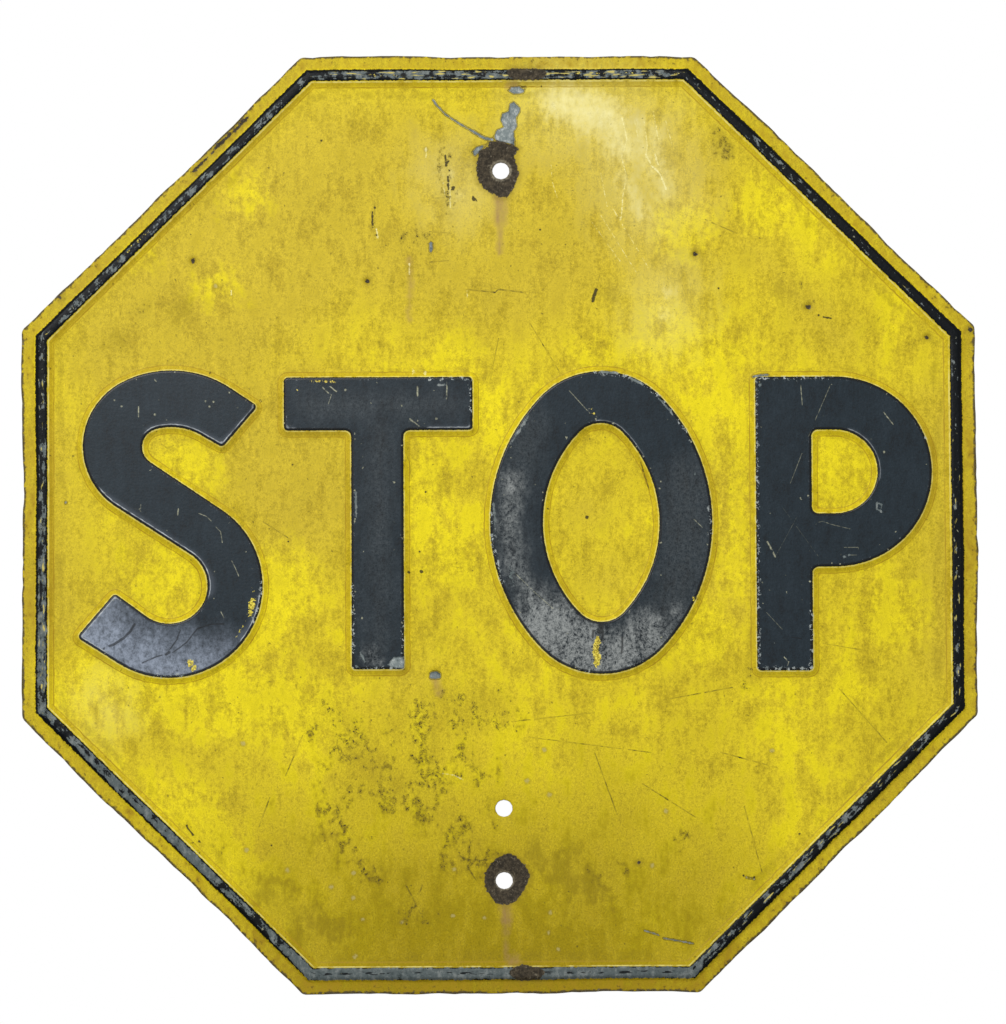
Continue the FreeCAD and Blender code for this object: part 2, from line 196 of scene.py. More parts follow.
def soften(runs: list[Run], corner: float, crook: float) -> list[Run]:
    """Rounds the corners where two straight runs meet in a closed path.

    Args:
        runs: the path.
        corner: the radius where the raised metal sticks out.
        crook: the radius where it turns in.

    Returns:
        The path with an arc in each such corner.
    """
    path = list(runs)
    for place in range(len(path) - 1, -1, -1):
        first, following = path[place], path[(place + 1) % len(path)]
        if not isinstance(first, Line) or not isinstance(following, Line):
            continue
        bend = math.remainder(np.angle(following.heading) - np.angle(first.heading), FULL_TURN)
        radius = corner if bend > 0 else crook
        cut = radius * math.tan(abs(bend) / 2)
        side = math.copysign(1.0, bend)
        leave = first.end - first.heading * cut
        start = float(np.angle(first.heading * -1j * side))
        bow = Arc(leave + first.heading * 1j * side * radius, radius, start, start + bend)
        path[place] = Line(first.start, leave)
        path[(place + 1) % len(path)] = Line(following.start + following.heading * cut, following.end)
        path.insert(place + 1, bow)
    return path


@dataclass(frozen=True)
class LetterT:
    """The second letter: a bar over a stem."""

    left: float = -137.2
    bar_width: float = 120.0
    top: float = 94.0
    bar_height: float = 34.0
    stem_shift: float = 43.0
    stem_width: float = 32.7
    height: float = 189.4

    def paths(self) -> list[list[Run]]:
        """The letter's one closed outline.

        Returns:
            One path.
        """
        right = self.left + self.bar_width
        stem = self.left + self.stem_shift
        under = self.top - self.bar_height
        foot = self.top - self.height
        corners = [
            complex(self.left, self.top),
            complex(self.left, under),
            complex(stem, under),
            complex(stem, foot),
            complex(stem + self.stem_width, foot),
            complex(stem + self.stem_width, under),
            complex(right, under),
            complex(right, self.top),
        ]
        return [polygon(corners)]


@dataclass(frozen=True)
class LetterP:
    """The last letter: a stem with a round bowl."""

    left: float = 164.3
    stem_width: float = 35.0
    top: float = 93.2
    height: float = 190.5
    bowl_reach: float = 15.2
    bowl_radius: float = 61.6
    bowl_stroke: float = 34.0

    def paths(self) -> list[list[Run]]:
        """The outline and the edge of the counter.

        Returns:
            Two paths.
        """
        stem = self.left + self.stem_width
        foot = self.top - self.height
        middle = complex(stem + self.bowl_reach, self.top - self.bowl_radius)
        under = middle.imag - self.bowl_radius
        outer = [
            Line(complex(self.left, self.top), complex(self.left, foot)),
            Line(complex(self.left, foot), complex(stem, foot)),
            Line(complex(stem, foot), complex(stem, under)),
            Line(complex(stem, under), complex(middle.real, under)),
            Arc(middle, self.bowl_radius, -QUARTER_TURN, QUARTER_TURN),
            Line(complex(middle.real, self.top), complex(self.left, self.top)),
        ]
        small = self.bowl_radius - self.bowl_stroke
        high, low = middle.imag + small, middle.imag - small
        counter = [
            Line(complex(stem, high), complex(middle.real, high)),
            Arc(middle, small, QUARTER_TURN, -QUARTER_TURN),
            Line(complex(middle.real, low), complex(stem, low)),
            Line(complex(stem, low), complex(stem, high)),
        ]
        return [outer, counter]


@dataclass(frozen=True)
class LetterO:
    """The third letter: an upright oval ring of four arcs inside and four outside."""

    x: float = 65.0
    z: float = -0.9
    half_height: float = 98.2
    half_width: float = 70.6
    end_radius: float = 52.5
    stroke: float = 33.1

    def oval(self, grow: float) -> list[Run]:
        """The four arcs of an oval, grown by a margin.

        Args:
            grow: the margin, less than zero for a smaller oval.

        Returns:
            The closed path.
        """
        lift = self.half_height - self.end_radius
        spread = lift**2 + self.half_width**2 - self.end_radius**2
        side = spread / (2 * (self.half_width - self.end_radius))
        shift = side - self.half_width
        turn = math.atan2(lift, shift)
        middle = complex(self.x, self.z)
        ends, sides = self.end_radius + grow, side + grow
        return [
            Arc(middle - shift, sides, -turn, turn),
            Arc(middle + lift * 1j, ends, turn, math.pi - turn),
            Arc(middle + shift, sides, math.pi - turn, math.pi + turn),
            Arc(middle - lift * 1j, ends, math.pi + turn, FULL_TURN - turn),
        ]

    def paths(self) -> list[list[Run]]:
        """The outer oval and the inner one."""
        return [self.oval(0), reversed_runs(self.oval(-self.stroke))]


def crossing(first: complex, first_angle: float, second: complex, second_angle: float) -> complex:
    """Where two straight lines meet.

    Args:
        first: a spot on one line.
        first_angle: that line's direction, in radians.
        second: a spot on the other.
        second_angle: its direction.

    Returns:
        The spot that lies on both.
    """
    one = complex(math.cos(first_angle), math.sin(first_angle))
    two = complex(math.cos(second_angle), math.sin(second_angle))
    gap = second - first
    along = (gap * two.conjugate()).imag / (one * two.conjugate()).imag
    return first + one * along


@dataclass(frozen=True)
class EssEdge:
    """One long edge of the S: straight end, crown, shoulder, spine, bowl, straight end."""

    crown: complex
    crown_radius: float
    shoulder_radius: float
    shoulder_turn: float
    bowl: complex
    bowl_radius: float
    head_slope: float
    foot_slope: float

    def runs(self, cuts: tuple[complex, complex], cut_angle: float) -> list[Run]:
        """Draws the edge from the letter's upper end to its lower end.

        Args:
            cuts: a spot on each of the two lines that end the stroke.
            cut_angle: the direction of both lines, in radians.

        Returns:
            The runs in order.
        """
        upper = QUARTER_TURN - math.radians(self.head_slope)
        lower = -QUARTER_TURN - math.radians(self.foot_slope)
        switch = QUARTER_TURN + math.radians(self.shoulder_turn)
        crown = Arc(self.crown, self.crown_radius, upper, switch)
        inward = (self.crown_radius - self.shoulder_radius) * np.exp(1j * switch)
        middle = complex(self.crown + inward)
        apart = self.bowl - middle
        lean = math.acos((self.shoulder_radius + self.bowl_radius) / abs(apart))
        leave = float(np.angle(apart)) - lean + FULL_TURN
        shoulder = Arc(middle, self.shoulder_radius, switch, leave)
        bowl = Arc(self.bowl, self.bowl_radius, leave - math.pi, lower)
        head = crossing(crown.at(upper), upper - QUARTER_TURN, cuts[0], cut_angle)
        foot = crossing(bowl.at(lower), lower - QUARTER_TURN, cuts[1], cut_angle)
        return [
            Line(head, crown.at(upper)),
            crown,
            shoulder,
            Line(shoulder.at(leave), bowl.at(leave - math.pi)),
            bowl,
            Line(bowl.at(lower), foot),
        ]


@dataclass(frozen=True)
class LetterS:
    """The first letter, of lines and arcs that run smoothly into each other."""

    x: float = -209.8
    bowl: complex = -211.0 - 41.0j
    bowl_radius: float = 59.4
    bowl_stroke: float = 34.5
    head_cut: complex = -165.8 + 62.5j
    foot_cut: complex = -258.0 - 60.7j
    cut_turn: float = 49.7

    def paths(self) -> list[list[Run]]:
        """The letter's one closed outline.

        Returns:
            One path.
        """
        inside = self.bowl_radius - self.bowl_stroke
        longer = EssEdge(
            crown=self.x + 31.1j,
            crown_radius=67.9,
            shoulder_radius=46.9,
            shoulder_turn=25.4,
            bowl=self.bowl,
            bowl_radius=inside,
            head_slope=34.2,
            foot_slope=36.7,
        )
        shorter = EssEdge(
            crown=self.x + 24.9j,
            crown_radius=37.8,
            shoulder_radius=12.4,
            shoulder_turn=14.3,
            bowl=self.bowl,
            bowl_radius=self.bowl_radius,
            head_slope=30.4,
            foot_slope=32.7,
        )
        cuts = (self.head_cut, self.foot_cut)
        outer = longer.runs(cuts, math.radians(self.cut_turn))
        inner = shorter.runs(cuts, math.radians(self.cut_turn))
        head = Line(inner[0].start, outer[0].start)
        foot = Line(outer[-1].end, inner[-1].end)
        return [outer + [foot] + reversed_runs(inner) + [head]]


# The pressing: how high the sheet stands at each spot.


def ease(distance: Spots, bend: float) -> Spots:
    """Zero below zero and rising one for one above it, with a soft bend between."""
    soft = (distance + bend) ** 2 / (4 * bend)
    return np.where(distance < -bend, 0.0, np.where(distance > bend, distance, soft))


@dataclass(frozen=True)
class Wall:
    """A sloped wall of the pressing, from its crest down to its foot."""

    run: float
    crest_bend: float
    foot_bend: float
    height: float = 3.0
    thickness: float = 1.5

    @property
    def set_in(self) -> float:
        """How far the hollow behind is set in, so that the sheet keeps its thickness."""
        return self.thickness * math.tan(math.atan2(self.height, self.run) / 2)

    def rise(self, beyond_crest: Spots, behind: bool) -> Spots:
        """How high the sheet stands at given distances beyond the crest.

        Args:
            beyond_crest: the distances, less than zero on top of the form.
            behind: whether the hollow is meant.

        Returns:
            The heights.
        """
        distance = beyond_crest + (self.set_in if behind else 0.0)
        down = ease(self.run - distance, self.foot_bend) - ease(-distance, self.crest_bend)
        return self.height * down / self.run


@dataclass(frozen=True)
class Rib:
    """The raised rib that follows the border, measured from the middle to each flat."""

    inner_top: float = 289.0
    outer_top: float = 295.2
    inner: Wall = Wall(run=3.8, crest_bend=1.3, foot_bend=1.2)
    outer: Wall = Wall(run=1.4, crest_bend=0.6, foot_bend=0.5)

    def rise(self, flat: Spots, behind: bool) -> Spots:
        """How high the rib stands at given distances towards the flats.

        Args:
            flat: the distances from the middle.
            behind: whether the hollow is meant.

        Returns:
            The heights.
        """
        inward = self.inner.rise(self.inner_top - flat, behind)
        outward = self.outer.rise(flat - self.outer_top, behind)
        return np.minimum(inward, outward)


@dataclass(frozen=True)
class Lettering:
    """The four letters, as the crests of their walls."""

    letters: tuple = (LetterS(), LetterT(), LetterO(), LetterP())
    corner: float = 2.4
    crook: float = 4.6
    wall: Wall = Wall(run=3.75, crest_bend=0.9, foot_bend=1.1)

    def paths(self) -> list[list[Run]]:
        """All closed outlines with their corners rounded."""
        found = [path for letter in self.letters for path in letter.paths()]
        return [soften(path, self.corner, self.crook) for path in found]


def flat_distance(spots: Spots) -> Spots:
    """How far spots reach towards the nearest flat of the octagon."""
    turns = np.exp(-2j * HALF_SIDE_TURN * np.arange(SIDES))
    return np.max((spots[:, None] * turns[None, :]).real, axis=1)


def signed_distance(spots: Spots, paths: list[list[Run]]) -> Spots:
    """Measures how far spots lie outside the raised forms.

    Args:
        spots: where to measure.
        paths: the closed outlines of the forms.

    Returns:
        The distances, less than zero inside.
    """
    nearest = np.full(len(spots), np.inf)
    signs = np.ones(len(spots))
    for run in (run for path in paths for run in path):
        distance, side = run.reach(spots)
        closer = distance < nearest
        nearest = np.where(closer, distance, nearest)
        signs = np.where(closer, side, signs)
    return nearest * signs


# Marks of wear and stains, and places of painted light and shade, in millimetres from the sheet's middle.


class Wear(Enum):
    """The kinds of mark, each with the name of the field that the mesh carries."""

    CHIP = "chipped"
    RUST = "rusted"
    RUN = "rust_run"
    STAIN = "stained"
    SOIL = "soiled"
    SCUFF = "scuffed"
    SCORE = "scored"
    SCRATCH = "scratched"
    DING = "dinged"
    SPECK = "specked"
    GLAZE = "glazed"
    # Painted glare: pale patches laid where a lamp's reflection lies.
    GLARE = "painted_glare"
    # Painted shade: the enamel darker towards the bottom.
    GLOOM = "painted_shade_below"
    # Chalky rubs mixed with painted sheen, speckled.
    CHALK_AND_SHEEN = "chalky_rub_and_sheen"
    # Painted sheen: a smooth pale reflection on the black.
    SHEEN = "painted_sheen"
    FADE = "faded"
    # Painted highlight: pale lines along the crests' edges.
    GLEAM = "gleaming"
    FRAY = "frayed"
    GREY = "greyed"
    SCRAPE = "scraped"
    RING = "ringed"


FAINTEST = -200.0


@dataclass(frozen=True)
class Mark:
    """A mark along a path, or round a single spot, that reaches some way to each side."""

    reach: float
    path: tuple[complex, ...]
    broad: ClassVar[float] = 6.0
    margin: ClassVar[float] = 1.6
    net_step: ClassVar[float] = 3.0
    net_spokes: ClassVar[int] = 8

    def strength(self, spots: Spots) -> Spots:
        """How far spots lie inside the mark, less than zero outside.

        Args:
            spots: where to measure.

        Returns:
            The distances to the mark's edge.
        """
        if len(self.path) == 1:
            return self.reach - np.abs(spots - self.path[0])
        runs = [Line(a, b) for a, b in zip(self.path, self.path[1:])]
        return self.reach - np.min([run.reach(spots)[0] for run in runs], axis=0)

    def net(self) -> Spots:
        """Spots that let the mesh carry the mark.

        Returns:
            None for a broad mark, which the even net can carry.
        """
        margin = self.reach + self.margin
        if self.reach > self.broad:
            return np.zeros(0, complex)
        if len(self.path) == 1:
            return np.concatenate([self.path[:1], self.path[0] + margin * spokes(self.net_spokes)])
        found = [self.path[0] - margin * Line(*self.path[:2]).heading]
        for start, end in zip(self.path, self.path[1:]):
            spots, aside = Line(start, end).walk(self.net_step)
            found += [*spots, *(spots + aside * margin), *(spots - aside * margin)]
        found += [self.path[-1], self.path[-1] + margin * Line(*self.path[-2:]).heading]
        return np.array(found)


@dataclass(frozen=True)
class Patch:
    """A mark that fills a closed outline."""

    outline: tuple[complex, ...]
    net_step: ClassVar[float] = 1.6
    net_asides: ClassVar[tuple[float, ...]] = (0.0, 0.9, -0.9, 3.0)

    def runs(self) -> list[Line]:
        """The outline's straight runs."""
        return polygon(list(self.outline))

    def strength(self, spots: Spots) -> Spots:
        """How far spots lie inside the outline, less than zero outside.

        Args:
            spots: where to measure.

        Returns:
            The distances to the outline.
        """
        distance = np.min([run.reach(spots)[0] for run in self.runs()], axis=0)
        inside = np.zeros(len(spots), bool)
        for run in self.runs():
            crosses = (run.start.imag > spots.imag) != (run.end.imag > spots.imag)
            share = (spots.imag - run.start.imag) / (run.end.imag - run.start.imag + NUDGE)
            inside ^= crosses & (spots.real < run.start.real + share * (run.end - run.start).real)
        return np.where(inside, distance, -distance)

    def net(self) -> Spots:
        """Spots that let the mesh carry the mark.

        Returns:
            Spots on the outline and on both sides of it.
        """
        found = []
        for run in self.runs():
            spots, aside = run.walk(self.net_step)
            found += [spots + aside * share for share in self.net_asides]
        return np.concatenate(found)


def dots(reach: float, *places: complex) -> tuple[Mark, ...]:
    """Round marks of one size."""
    return tuple(Mark(reach, (place,)) for place in places)


def strokes(reach: float, *paths: tuple[complex, ...]) -> tuple[Mark, ...]:
    """Drawn marks of one width."""
    return tuple(Mark(reach, path) for path in paths)


TOP_HOLE_RUST = (
    *(-12 + 243j, -6 + 245.5j, -5.5 + 249j, -0.5 + 249.5j, 9.5 + 247j, 13.5 + 244.5j, 10.5 + 239j),
    *(12 + 234.5j, 13.5 + 228j, 11.5 + 221.5j, 9 + 216j, 5.5 + 212j, 1 + 212.5j, -4 + 215j),
    *(-9 + 218j, -12.5 + 223.5j, -14 + 229.5j, -13 + 237j),
)
ABOVE_TOP_HOLE = (
    *(8 + 273.5j, 10.5 + 275j, 14.5 + 271j, 14.5 + 268.5j, 12 + 264j, 12.5 + 258.5j, 10.5 + 255.5j),
    *(11 + 246.5j, -0.5 + 249.5j, -2.5 + 252j, -0.5 + 256.5j, 4 + 258.5j, 2 + 263j, 3 + 267.5j),
    *(7 + 268.5j,),
)
LEFT_OF_TOP_HOLE = (-16.5 + 242j, -13.5 + 245.5j, -8 + 246.5j, -5.5 + 249j, -11 + 243j, -14.5 + 239.5j)
NEAR_TOP_RIB = (6 + 283j, 8 + 284.5j, 12.5 + 285j, 18.5 + 285j, 16.5 + 280.5j, 10.5 + 280j)
TOP_RIB_RUST = (
    *(5.5 + 294.5j, 7 + 297j, 23 + 297j, 30.5 + 296j, 32 + 291.5j, 26.5 + 288.5j),
    *(10.5 + 288.5j, 6.5 + 291.5j),
)
LOW_HOLE_RUST = (
    *(-10.5 - 227.5j, -6 - 220.5j, -2 - 217.5j, 4.5 - 214.5j, 10 - 217j, 16 - 223.5j, 18.5 - 229j),
    *(16 - 235.5j, 11.5 - 243j, 9 - 246j, 3.5 - 248j, -3.5 - 247j, -7 - 242.5j, -10.5 - 236.5j),
)
LOW_RIB_RUST = (
    *(4.5 - 292j, 9 - 288j, 14.5 - 286.5j, 18 - 288j, 25.5 - 289j, 27 - 292j, 25.5 - 296j),
    *(13.5 - 297j, 6.5 - 296j),
)
STEM_FOOT_CHIP = (-68 - 88j, -61 - 87.5j, -61 - 95.5j, -68.5 - 95j, -72 - 93j)
OVAL_FOOT_GAP = (
    *(61 - 74j, 64.5 - 74j, 65 - 79j, 63.5 - 84.5j, 65.5 - 90j, 63.5 - 95.5j, 62 - 97j, 59 - 96j),
    *(58.5 - 90j, 58 - 84.5j, 58.5 - 80j, 60 - 76.5j),
)
NAIL_DENT = (-45 - 101.5j, -45 - 98j, -42.5 - 96.5j, -40 - 96.5j, -38 - 98j, -38 - 101.5j)

MARKS: dict[Wear, tuple[Mark | Patch, ...]] = {
    Wear.CHIP: (
        Patch(ABOVE_TOP_HOLE),
        Patch(LEFT_OF_TOP_HOLE),
        Patch(NEAR_TOP_RIB),
        Patch(STEM_FOOT_CHIP),
        Patch(NAIL_DENT),
        *dots(1.0, 220 - 24j, 223 - 23j),
        *dots(1.3, -91 - 94j, 12 + 58j, 16 + 64j, 107 + 75j, 110 + 71j, 190 + 90j, 167 + 88j),
        *dots(0.7, 125 + 30j, -3 - 10j, 9 - 33j, 6 - 36j, 22 + 79j, 5 + 44j, 27 + 82j, -20 + 89j),
        *dots(0.6, -152 + 80j, -160 + 88j, -262 + 62j, -272 + 44j, -119 + 93j, -101 + 93j),
        *dots(0.7, -277 + 14j, -184 + 98j, 168 - 94j, 197 - 60j, 272 + 52j, 26 - 75j, 175 - 80j),
        *strokes(0.8, (-91 + 3j, -92 + 20j), (-89 - 84j, -86 - 92j), (-4 + 12j, -1 - 16j)),
        *strokes(0.9, (65 + 97j, 76 + 96.5j)),
        *strokes(0.6, (7 + 50j, 19 + 69j), (102 + 80j, 111 + 69j)),
        *strokes(0.9, (84 + 93j, 92 + 89j), (-40 + 89j, -32 + 90j), (163 + 94j, 172 + 95j)),
        *strokes(0.4, (91 - 265j, 100 - 268j), (103 - 270j, 122 - 273.5j), (156 - 231j, 161 - 232j)),
        *strokes(0.4, (6 - 29j, 9 - 42j)),
        *strokes(1.1, (-43 + 182.5j, -43 + 177.5j)),
        *strokes(0.55, (-41.5 + 276.5j, -39 + 273j, -33.5 + 267j, -24 + 260.5j, -15.5 + 255.5j)),
        *strokes(0.9, (-15.5 + 255.5j, -9 + 251.5j, -3.5 + 250j)),
        *strokes(0.5, (244 + 5j, 241 + 7j, 241 + 11j, 244 + 10j, 244 + 5j)),
    ),
    Wear.RUST: (
        Patch(TOP_HOLE_RUST),
        Patch(TOP_RIB_RUST),
        Patch(LOW_HOLE_RUST),
        Patch(LOW_RIB_RUST),
        *dots(1.9, -166 + 262j, -172 + 258j, -179 + 248j, -280 + 149j, 302 + 124j),
        *strokes(1.0, (-160 + 266j, -184 + 243j), (-186 + 240j, -196 + 230j)),
        *dots(1.4, -195.5 + 171.4j, 126.2 + 174.6j, 198.3 + 139.6j, 274.3 + 119.6j, -84.1 + 157.7j),
        *dots(1.0, 88 - 221j),
    ),
    Wear.RUN: (
        *strokes(4.5, (1.5 + 216j, 2 + 205j, 1.5 + 198j)),
        *strokes(1.2, (1.5 + 198j, 1 + 176j)),
        *strokes(3.4, (3 - 246j, 3 - 258j)),
        *strokes(0.8, (3 - 258j, 3 - 282j), (-57 + 173j, -56 + 156j, -57 + 140j)),
        *strokes(0.8, (-58 + 138j, -57 + 132j)),
        *strokes(2.2, (-41.5 - 102j, -40 - 107j, -39 - 111j)),
        *dots(4.0, 10 + 286j, 8 - 284j),
    ),
    Wear.STAIN: (
        *dots(5, -144 - 238j, 148 + 42j, -60 - 105j, -20 - 92j, -38 - 78j, 143 - 58j),
        *dots(8, -75 - 160j, -50 - 196j, 143 + 245j, -150 + 120j, -232 - 20j, 140 - 74j),
        *dots(12, -110 - 205j, -240 + 120j, 70 + 150j, -205 + 140j, 182 + 152j),
        *strokes(2.6, (147 - 58j, 143 - 68j, 140 - 80j), (145 + 30j, 141 + 24j)),
        *strokes(5.0, (-282 + 20j, -280 - 90j), (-250 - 225j, -150 - 270j), (45 - 255j, 50 - 215j)),
        *strokes(14, (-152 - 240j, -108 - 268j), (20 - 215j, 60 - 240j)),
    ),
    Wear.SOIL: (
        *strokes(9, (-50 - 122j, -47 - 140j, -44 - 170j), (-98 - 147j, -80 - 158j, -66 - 176j)),
        *strokes(3, (-42 - 113j, -4 - 116j), (-34 - 121j, 4 - 123j), (-30 - 129j, 2 - 130j)),
        *strokes(5, (-104 - 186j, -100 - 200j), (-60 - 180j, -30 - 192j, -16 - 208j)),
        *strokes(5, (-30 - 218j, -8 - 222j)),
        *strokes(3, (-110 - 120j, -96 - 134j), (-70 - 128j, -62 - 140j), (-24 - 150j, -14 - 164j)),
        *strokes(3, (-112 - 166j, -92 - 172j, -70 - 172j), (-96 - 210j, -84 - 226j)),
        *strokes(3, (-40 - 196j, -26 - 206j)),
        *dots(5, -191 - 209j, -56 - 250j, -5 - 185j, 120 - 205j, 70 - 228j, -20 - 205j, -96 - 175j),
        *dots(3, 140 + 250j, 146 + 244j, 196 + 146j, -116 - 132j, 160 - 100j),
        *dots(1, 240 + 128j, -232 + 138j),
        *strokes(2.4, (-33 + 242j, -31 + 225j, -33 + 204j)),
        *strokes(1, (-70 + 190j, -46 + 186j), (-190 + 228j, -196 + 216j)),
    ),
    Wear.SCUFF: (
        *strokes(2.8, (-157.5 - 51j, -159 - 59j), (-198 - 91j, -195 - 95j)),
        *strokes(0.6, (-162 - 64j, -169 - 76j), (-158 - 42j, -156 - 48j), (60 + 68j, 59 + 74j)),
        *dots(2.0, 124 - 51j, 167 + 90j, 60 + 70j),
        *dots(1.2, -129 + 86j, -70 - 92j),
        *strokes(1.4, (-120 + 92j, -104 + 91.5j)),
        *strokes(1.2, (36 + 293j, 118 + 292j), (-92 + 292j, -45 + 292j), (-245 + 170j, -225 + 190j)),
        Patch(OVAL_FOOT_GAP),
    ),
    Wear.SCORE: (
        *strokes(0.2, (10 - 34j, 22 - 46j, 34 - 57j), (45 + 85j, 60 + 68j), (124 + 1j, 135 - 10j)),
        *strokes(0.1, (213 + 90j, 200 + 60j, 186 + 24j), (-33 + 60j, -26 + 64j)),
        *strokes(0.1, (-95 + 48j, -88 + 51j)),
        *strokes(0.2, (193 + 89j, 194 + 75j), (237 + 89j, 238 + 84j), (-107 + 83j, -109 + 77j)),
        *strokes(0.35, (-33 + 91j, -33.5 + 80j), (-111 + 91j, -104 + 85j), (-114 + 89j, -109 + 84j)),
        *strokes(0.5, (171 - 14j, 176 - 24j), (-57 + 67j, -50 + 61j), (-52 + 88j, -52 + 82j)),
        *strokes(-0.05, (177 - 22j, 190 + 2j), (181 + 8j, 205 - 26j)),
        *strokes(0.1, (170 - 60j, 180 - 71j)),
        *strokes(0.2, (-247 - 94j, -253 - 98j), (-277 - 94j, -267 - 88j), (76 - 30j, 79 - 34j)),
        *strokes(0.1, (201 + 1j, 212 - 3j, 224 - 6j), (202 - 3j, 210 + 3j), (220 - 18j, 229 - 18j)),
        *strokes(0.1, (222 - 23j, 229 - 23j, 229 - 33j), (-240 + 9j, -230 + 9j)),
        *strokes(0.1, (-229 + 12j, -229 + 5j)),
        *strokes(0.35, (-230.4 + 75.7j, -230.4 + 69j), (-205 + 9j, -205.5 + 5j)),
        *strokes(0.35, (-222 + 95.5j, -219 + 92j)),
        *strokes(0.2, (-192 + 6j, -187 + 4j, -184 + 1j), (-181 - 3j, -178 - 6j, -177 - 13j)),
        *strokes(0.2, (-171 - 25j, -169 - 29j, -166.5 - 35j), (-176 - 62j, -178 - 58j)),
        *dots(0.7, -246 + 80j, -241.3 + 76j, -187.5 + 79j, -182.5 + 78.7j, -185 + 75.5j, -167.9 + 65.7j),
        *dots(0.8, -220 + 70.5j, 198 - 40j, 183 - 94j, 246 + 44j, -111 + 60j, -98 + 86j, -40 + 67j),
        *strokes(0.3, (184 - 92j, 181 - 89j), (205 - 96j, 209 - 92j), (246 + 70j, 252 + 62j)),
    ),
    Wear.SCRAPE: (
        *strokes(0.2, (80 + 264j, 83 + 250j, 79.5 + 238j, 82.5 + 226j, 80 + 212j, 79 + 198j)),
        *strokes(0.1, (94 + 262j, 96 + 246j, 95 + 238j), (88 + 262j, 90 + 252j)),
        *strokes(0.1, (100 + 268j, 103 + 250j)),
        *strokes(0.5, (95 + 240j, 99 + 232j, 104 + 227j, 108 + 217j), (101 + 240j, 103 + 233j)),
        *strokes(0.0, (34 + 236j, 35 + 222j, 38 + 212j), (108 + 262j, 112 + 246j)),
        *strokes(0.0, (66 + 228j, 70 + 206j)),
        *strokes(0.0, (60 + 196j, 78 + 170j), (66 + 200j, 90 + 160j), (74 + 204j, 96 + 166j)),
        *strokes(1.1, (-54.5 + 100j, -54 + 97j), (-47.5 + 98j, -47.5 + 96.5j)),
        *strokes(0.5, (-78 + 192j, -77 + 186j), (-31 + 222j, -30.5 + 206j)),
        *strokes(0.4, (-46 + 245j, -46 + 239j), (-171 + 152j, -171 + 149j), (-57 + 169j, -57 + 162j)),
        *strokes(0.2, (-37 - 163j, -30 - 164j, -24 - 167j), (-20 + 151j, -20 + 147j)),
        *strokes(0.2, (-35 + 222j, -34 + 214j)),
    ),
    Wear.RING: (Mark(7.4, (2 + 230j,)), Mark(6.6, (2 - 232j,))),
    Wear.SCRATCH: (
        *strokes(0.25, (155 - 185j, 166 - 228j), (216 - 109j, 246 - 144j), (104 - 116j, 148 - 108j)),
        *strokes(0.3, (-126 - 138j, -137 - 164j), (-147 - 178j, -154 - 197j), (137 + 195j, 153 + 188j)),
        *strokes(0.35, (-30 - 216j, -19 - 219j, -9 - 219j), (-50 - 235j, -56 - 250j)),
        *strokes(0.25, (-79 + 210j, -79 + 185j), (-151 + 1j, -133 - 11j), (-240 + 120j, -228 + 108j)),
        *strokes(0.2, (20 + 130j, 40 + 96j), (0 + 120j, -6 + 90j), (186 - 76j, 230 - 84j)),
        *strokes(0.3, (-60 + 47j, -57 + 38j, -56 + 28j), (-230 - 103j, -222 - 110j)),
        *strokes(0.3, (90 + 40j, 96 + 20j)),
        *strokes(0.2, (65 + 161j, 61 + 147j, 57 + 135j), (4 - 130j, 60 - 124j), (20 - 140j, 96 - 150j)),
        *strokes(0.2, (-222 + 57j, -219 + 60j, -215 + 58j, -213 + 54j)),
        *strokes(0.2, (-216 + 52j, -212 + 49j, -208 + 51j)),
        *strokes(0.25, (-40 + 212j, -30 + 213j), (-44 + 190j, -30 + 189j), (-44 + 170j, -32 + 171j)),
        *strokes(0.4, (-101 - 190j, -103 - 196j, -108 - 202j), (-20 + 152j, -2 + 150j)),
        *strokes(0.4, (0 + 152j, 16 + 150j)),
        *strokes(0.3, (-28 - 212j, -16 - 232j), (-20 - 206j, -14 - 224j), (-60 - 236j, -50 - 256j)),
        *strokes(0.25, (140 - 150j, 176 - 160j), (60 - 150j, 74 - 190j), (90 - 170j, 124 - 192j)),
        *strokes(0.7, (-254 - 82j, -246 - 79j, -240 - 75j, -236 - 71j, -233 - 66j)),
        *strokes(0.3, (-228 - 91j, -219 - 87j, -208 - 84j, -200 - 78j, -193 - 69j, -184 - 66j, -176 - 66j)),
        *strokes(0.3, (-213 - 86j, -206 - 76j, -204 - 70j)),
        *strokes(0.5, (78 - 75.5j, 78 - 81j, 77.5 - 86j)),
        *strokes(0.6, (60 - 67j, 59 - 76j), (66 - 67j, 65 - 78j)),
        *strokes(1.6, (64.5 - 66.5j, 63.5 - 72j)),
    ),
    Wear.DING: (
        *dots(1.5, 28 - 148j, 17 - 168j, 31 - 177j, 105 - 188j, 96 - 223j, -94 - 227j, -94 - 243j),
        *dots(1.2, -88 - 257j, -63 - 259j, -31 - 255j, -11 - 256j, 31 - 253j, 30 - 266j, 36 - 277j),
        *dots(1.5, -108 - 236j, -93 - 281j, -30 - 225j, -164 - 143j, -136 - 225j, -162 - 212j),
        *dots(1.4, 173 - 149j, -1 + 237j, -46 + 244j, -181 + 155j),
        *strokes(1.0, (0 + 222j, 3 + 219j, 5 + 215j)),
    ),
    Wear.SPECK: (
        *dots(0.7, -31.5 + 236j, -31 + 230j, -32 + 221j, -192 + 215j, -16 + 211j),
        *dots(1.3, -28.5 + 218.5j),
        *strokes(1.0, (62.6 + 151.5j, 60.4 + 144j)),
        *strokes(0.6, (-80.5 + 203j, -80.3 + 193j), (-33.5 + 240j, -33 + 233j)),
        *strokes(0.6, (-32 + 226j, -31.5 + 218j)),
        *strokes(0.5, (-16 + 213j, -13.5 + 210j), (208 + 133j, 213 + 132j), (-199 - 198j, -196 - 202j)),
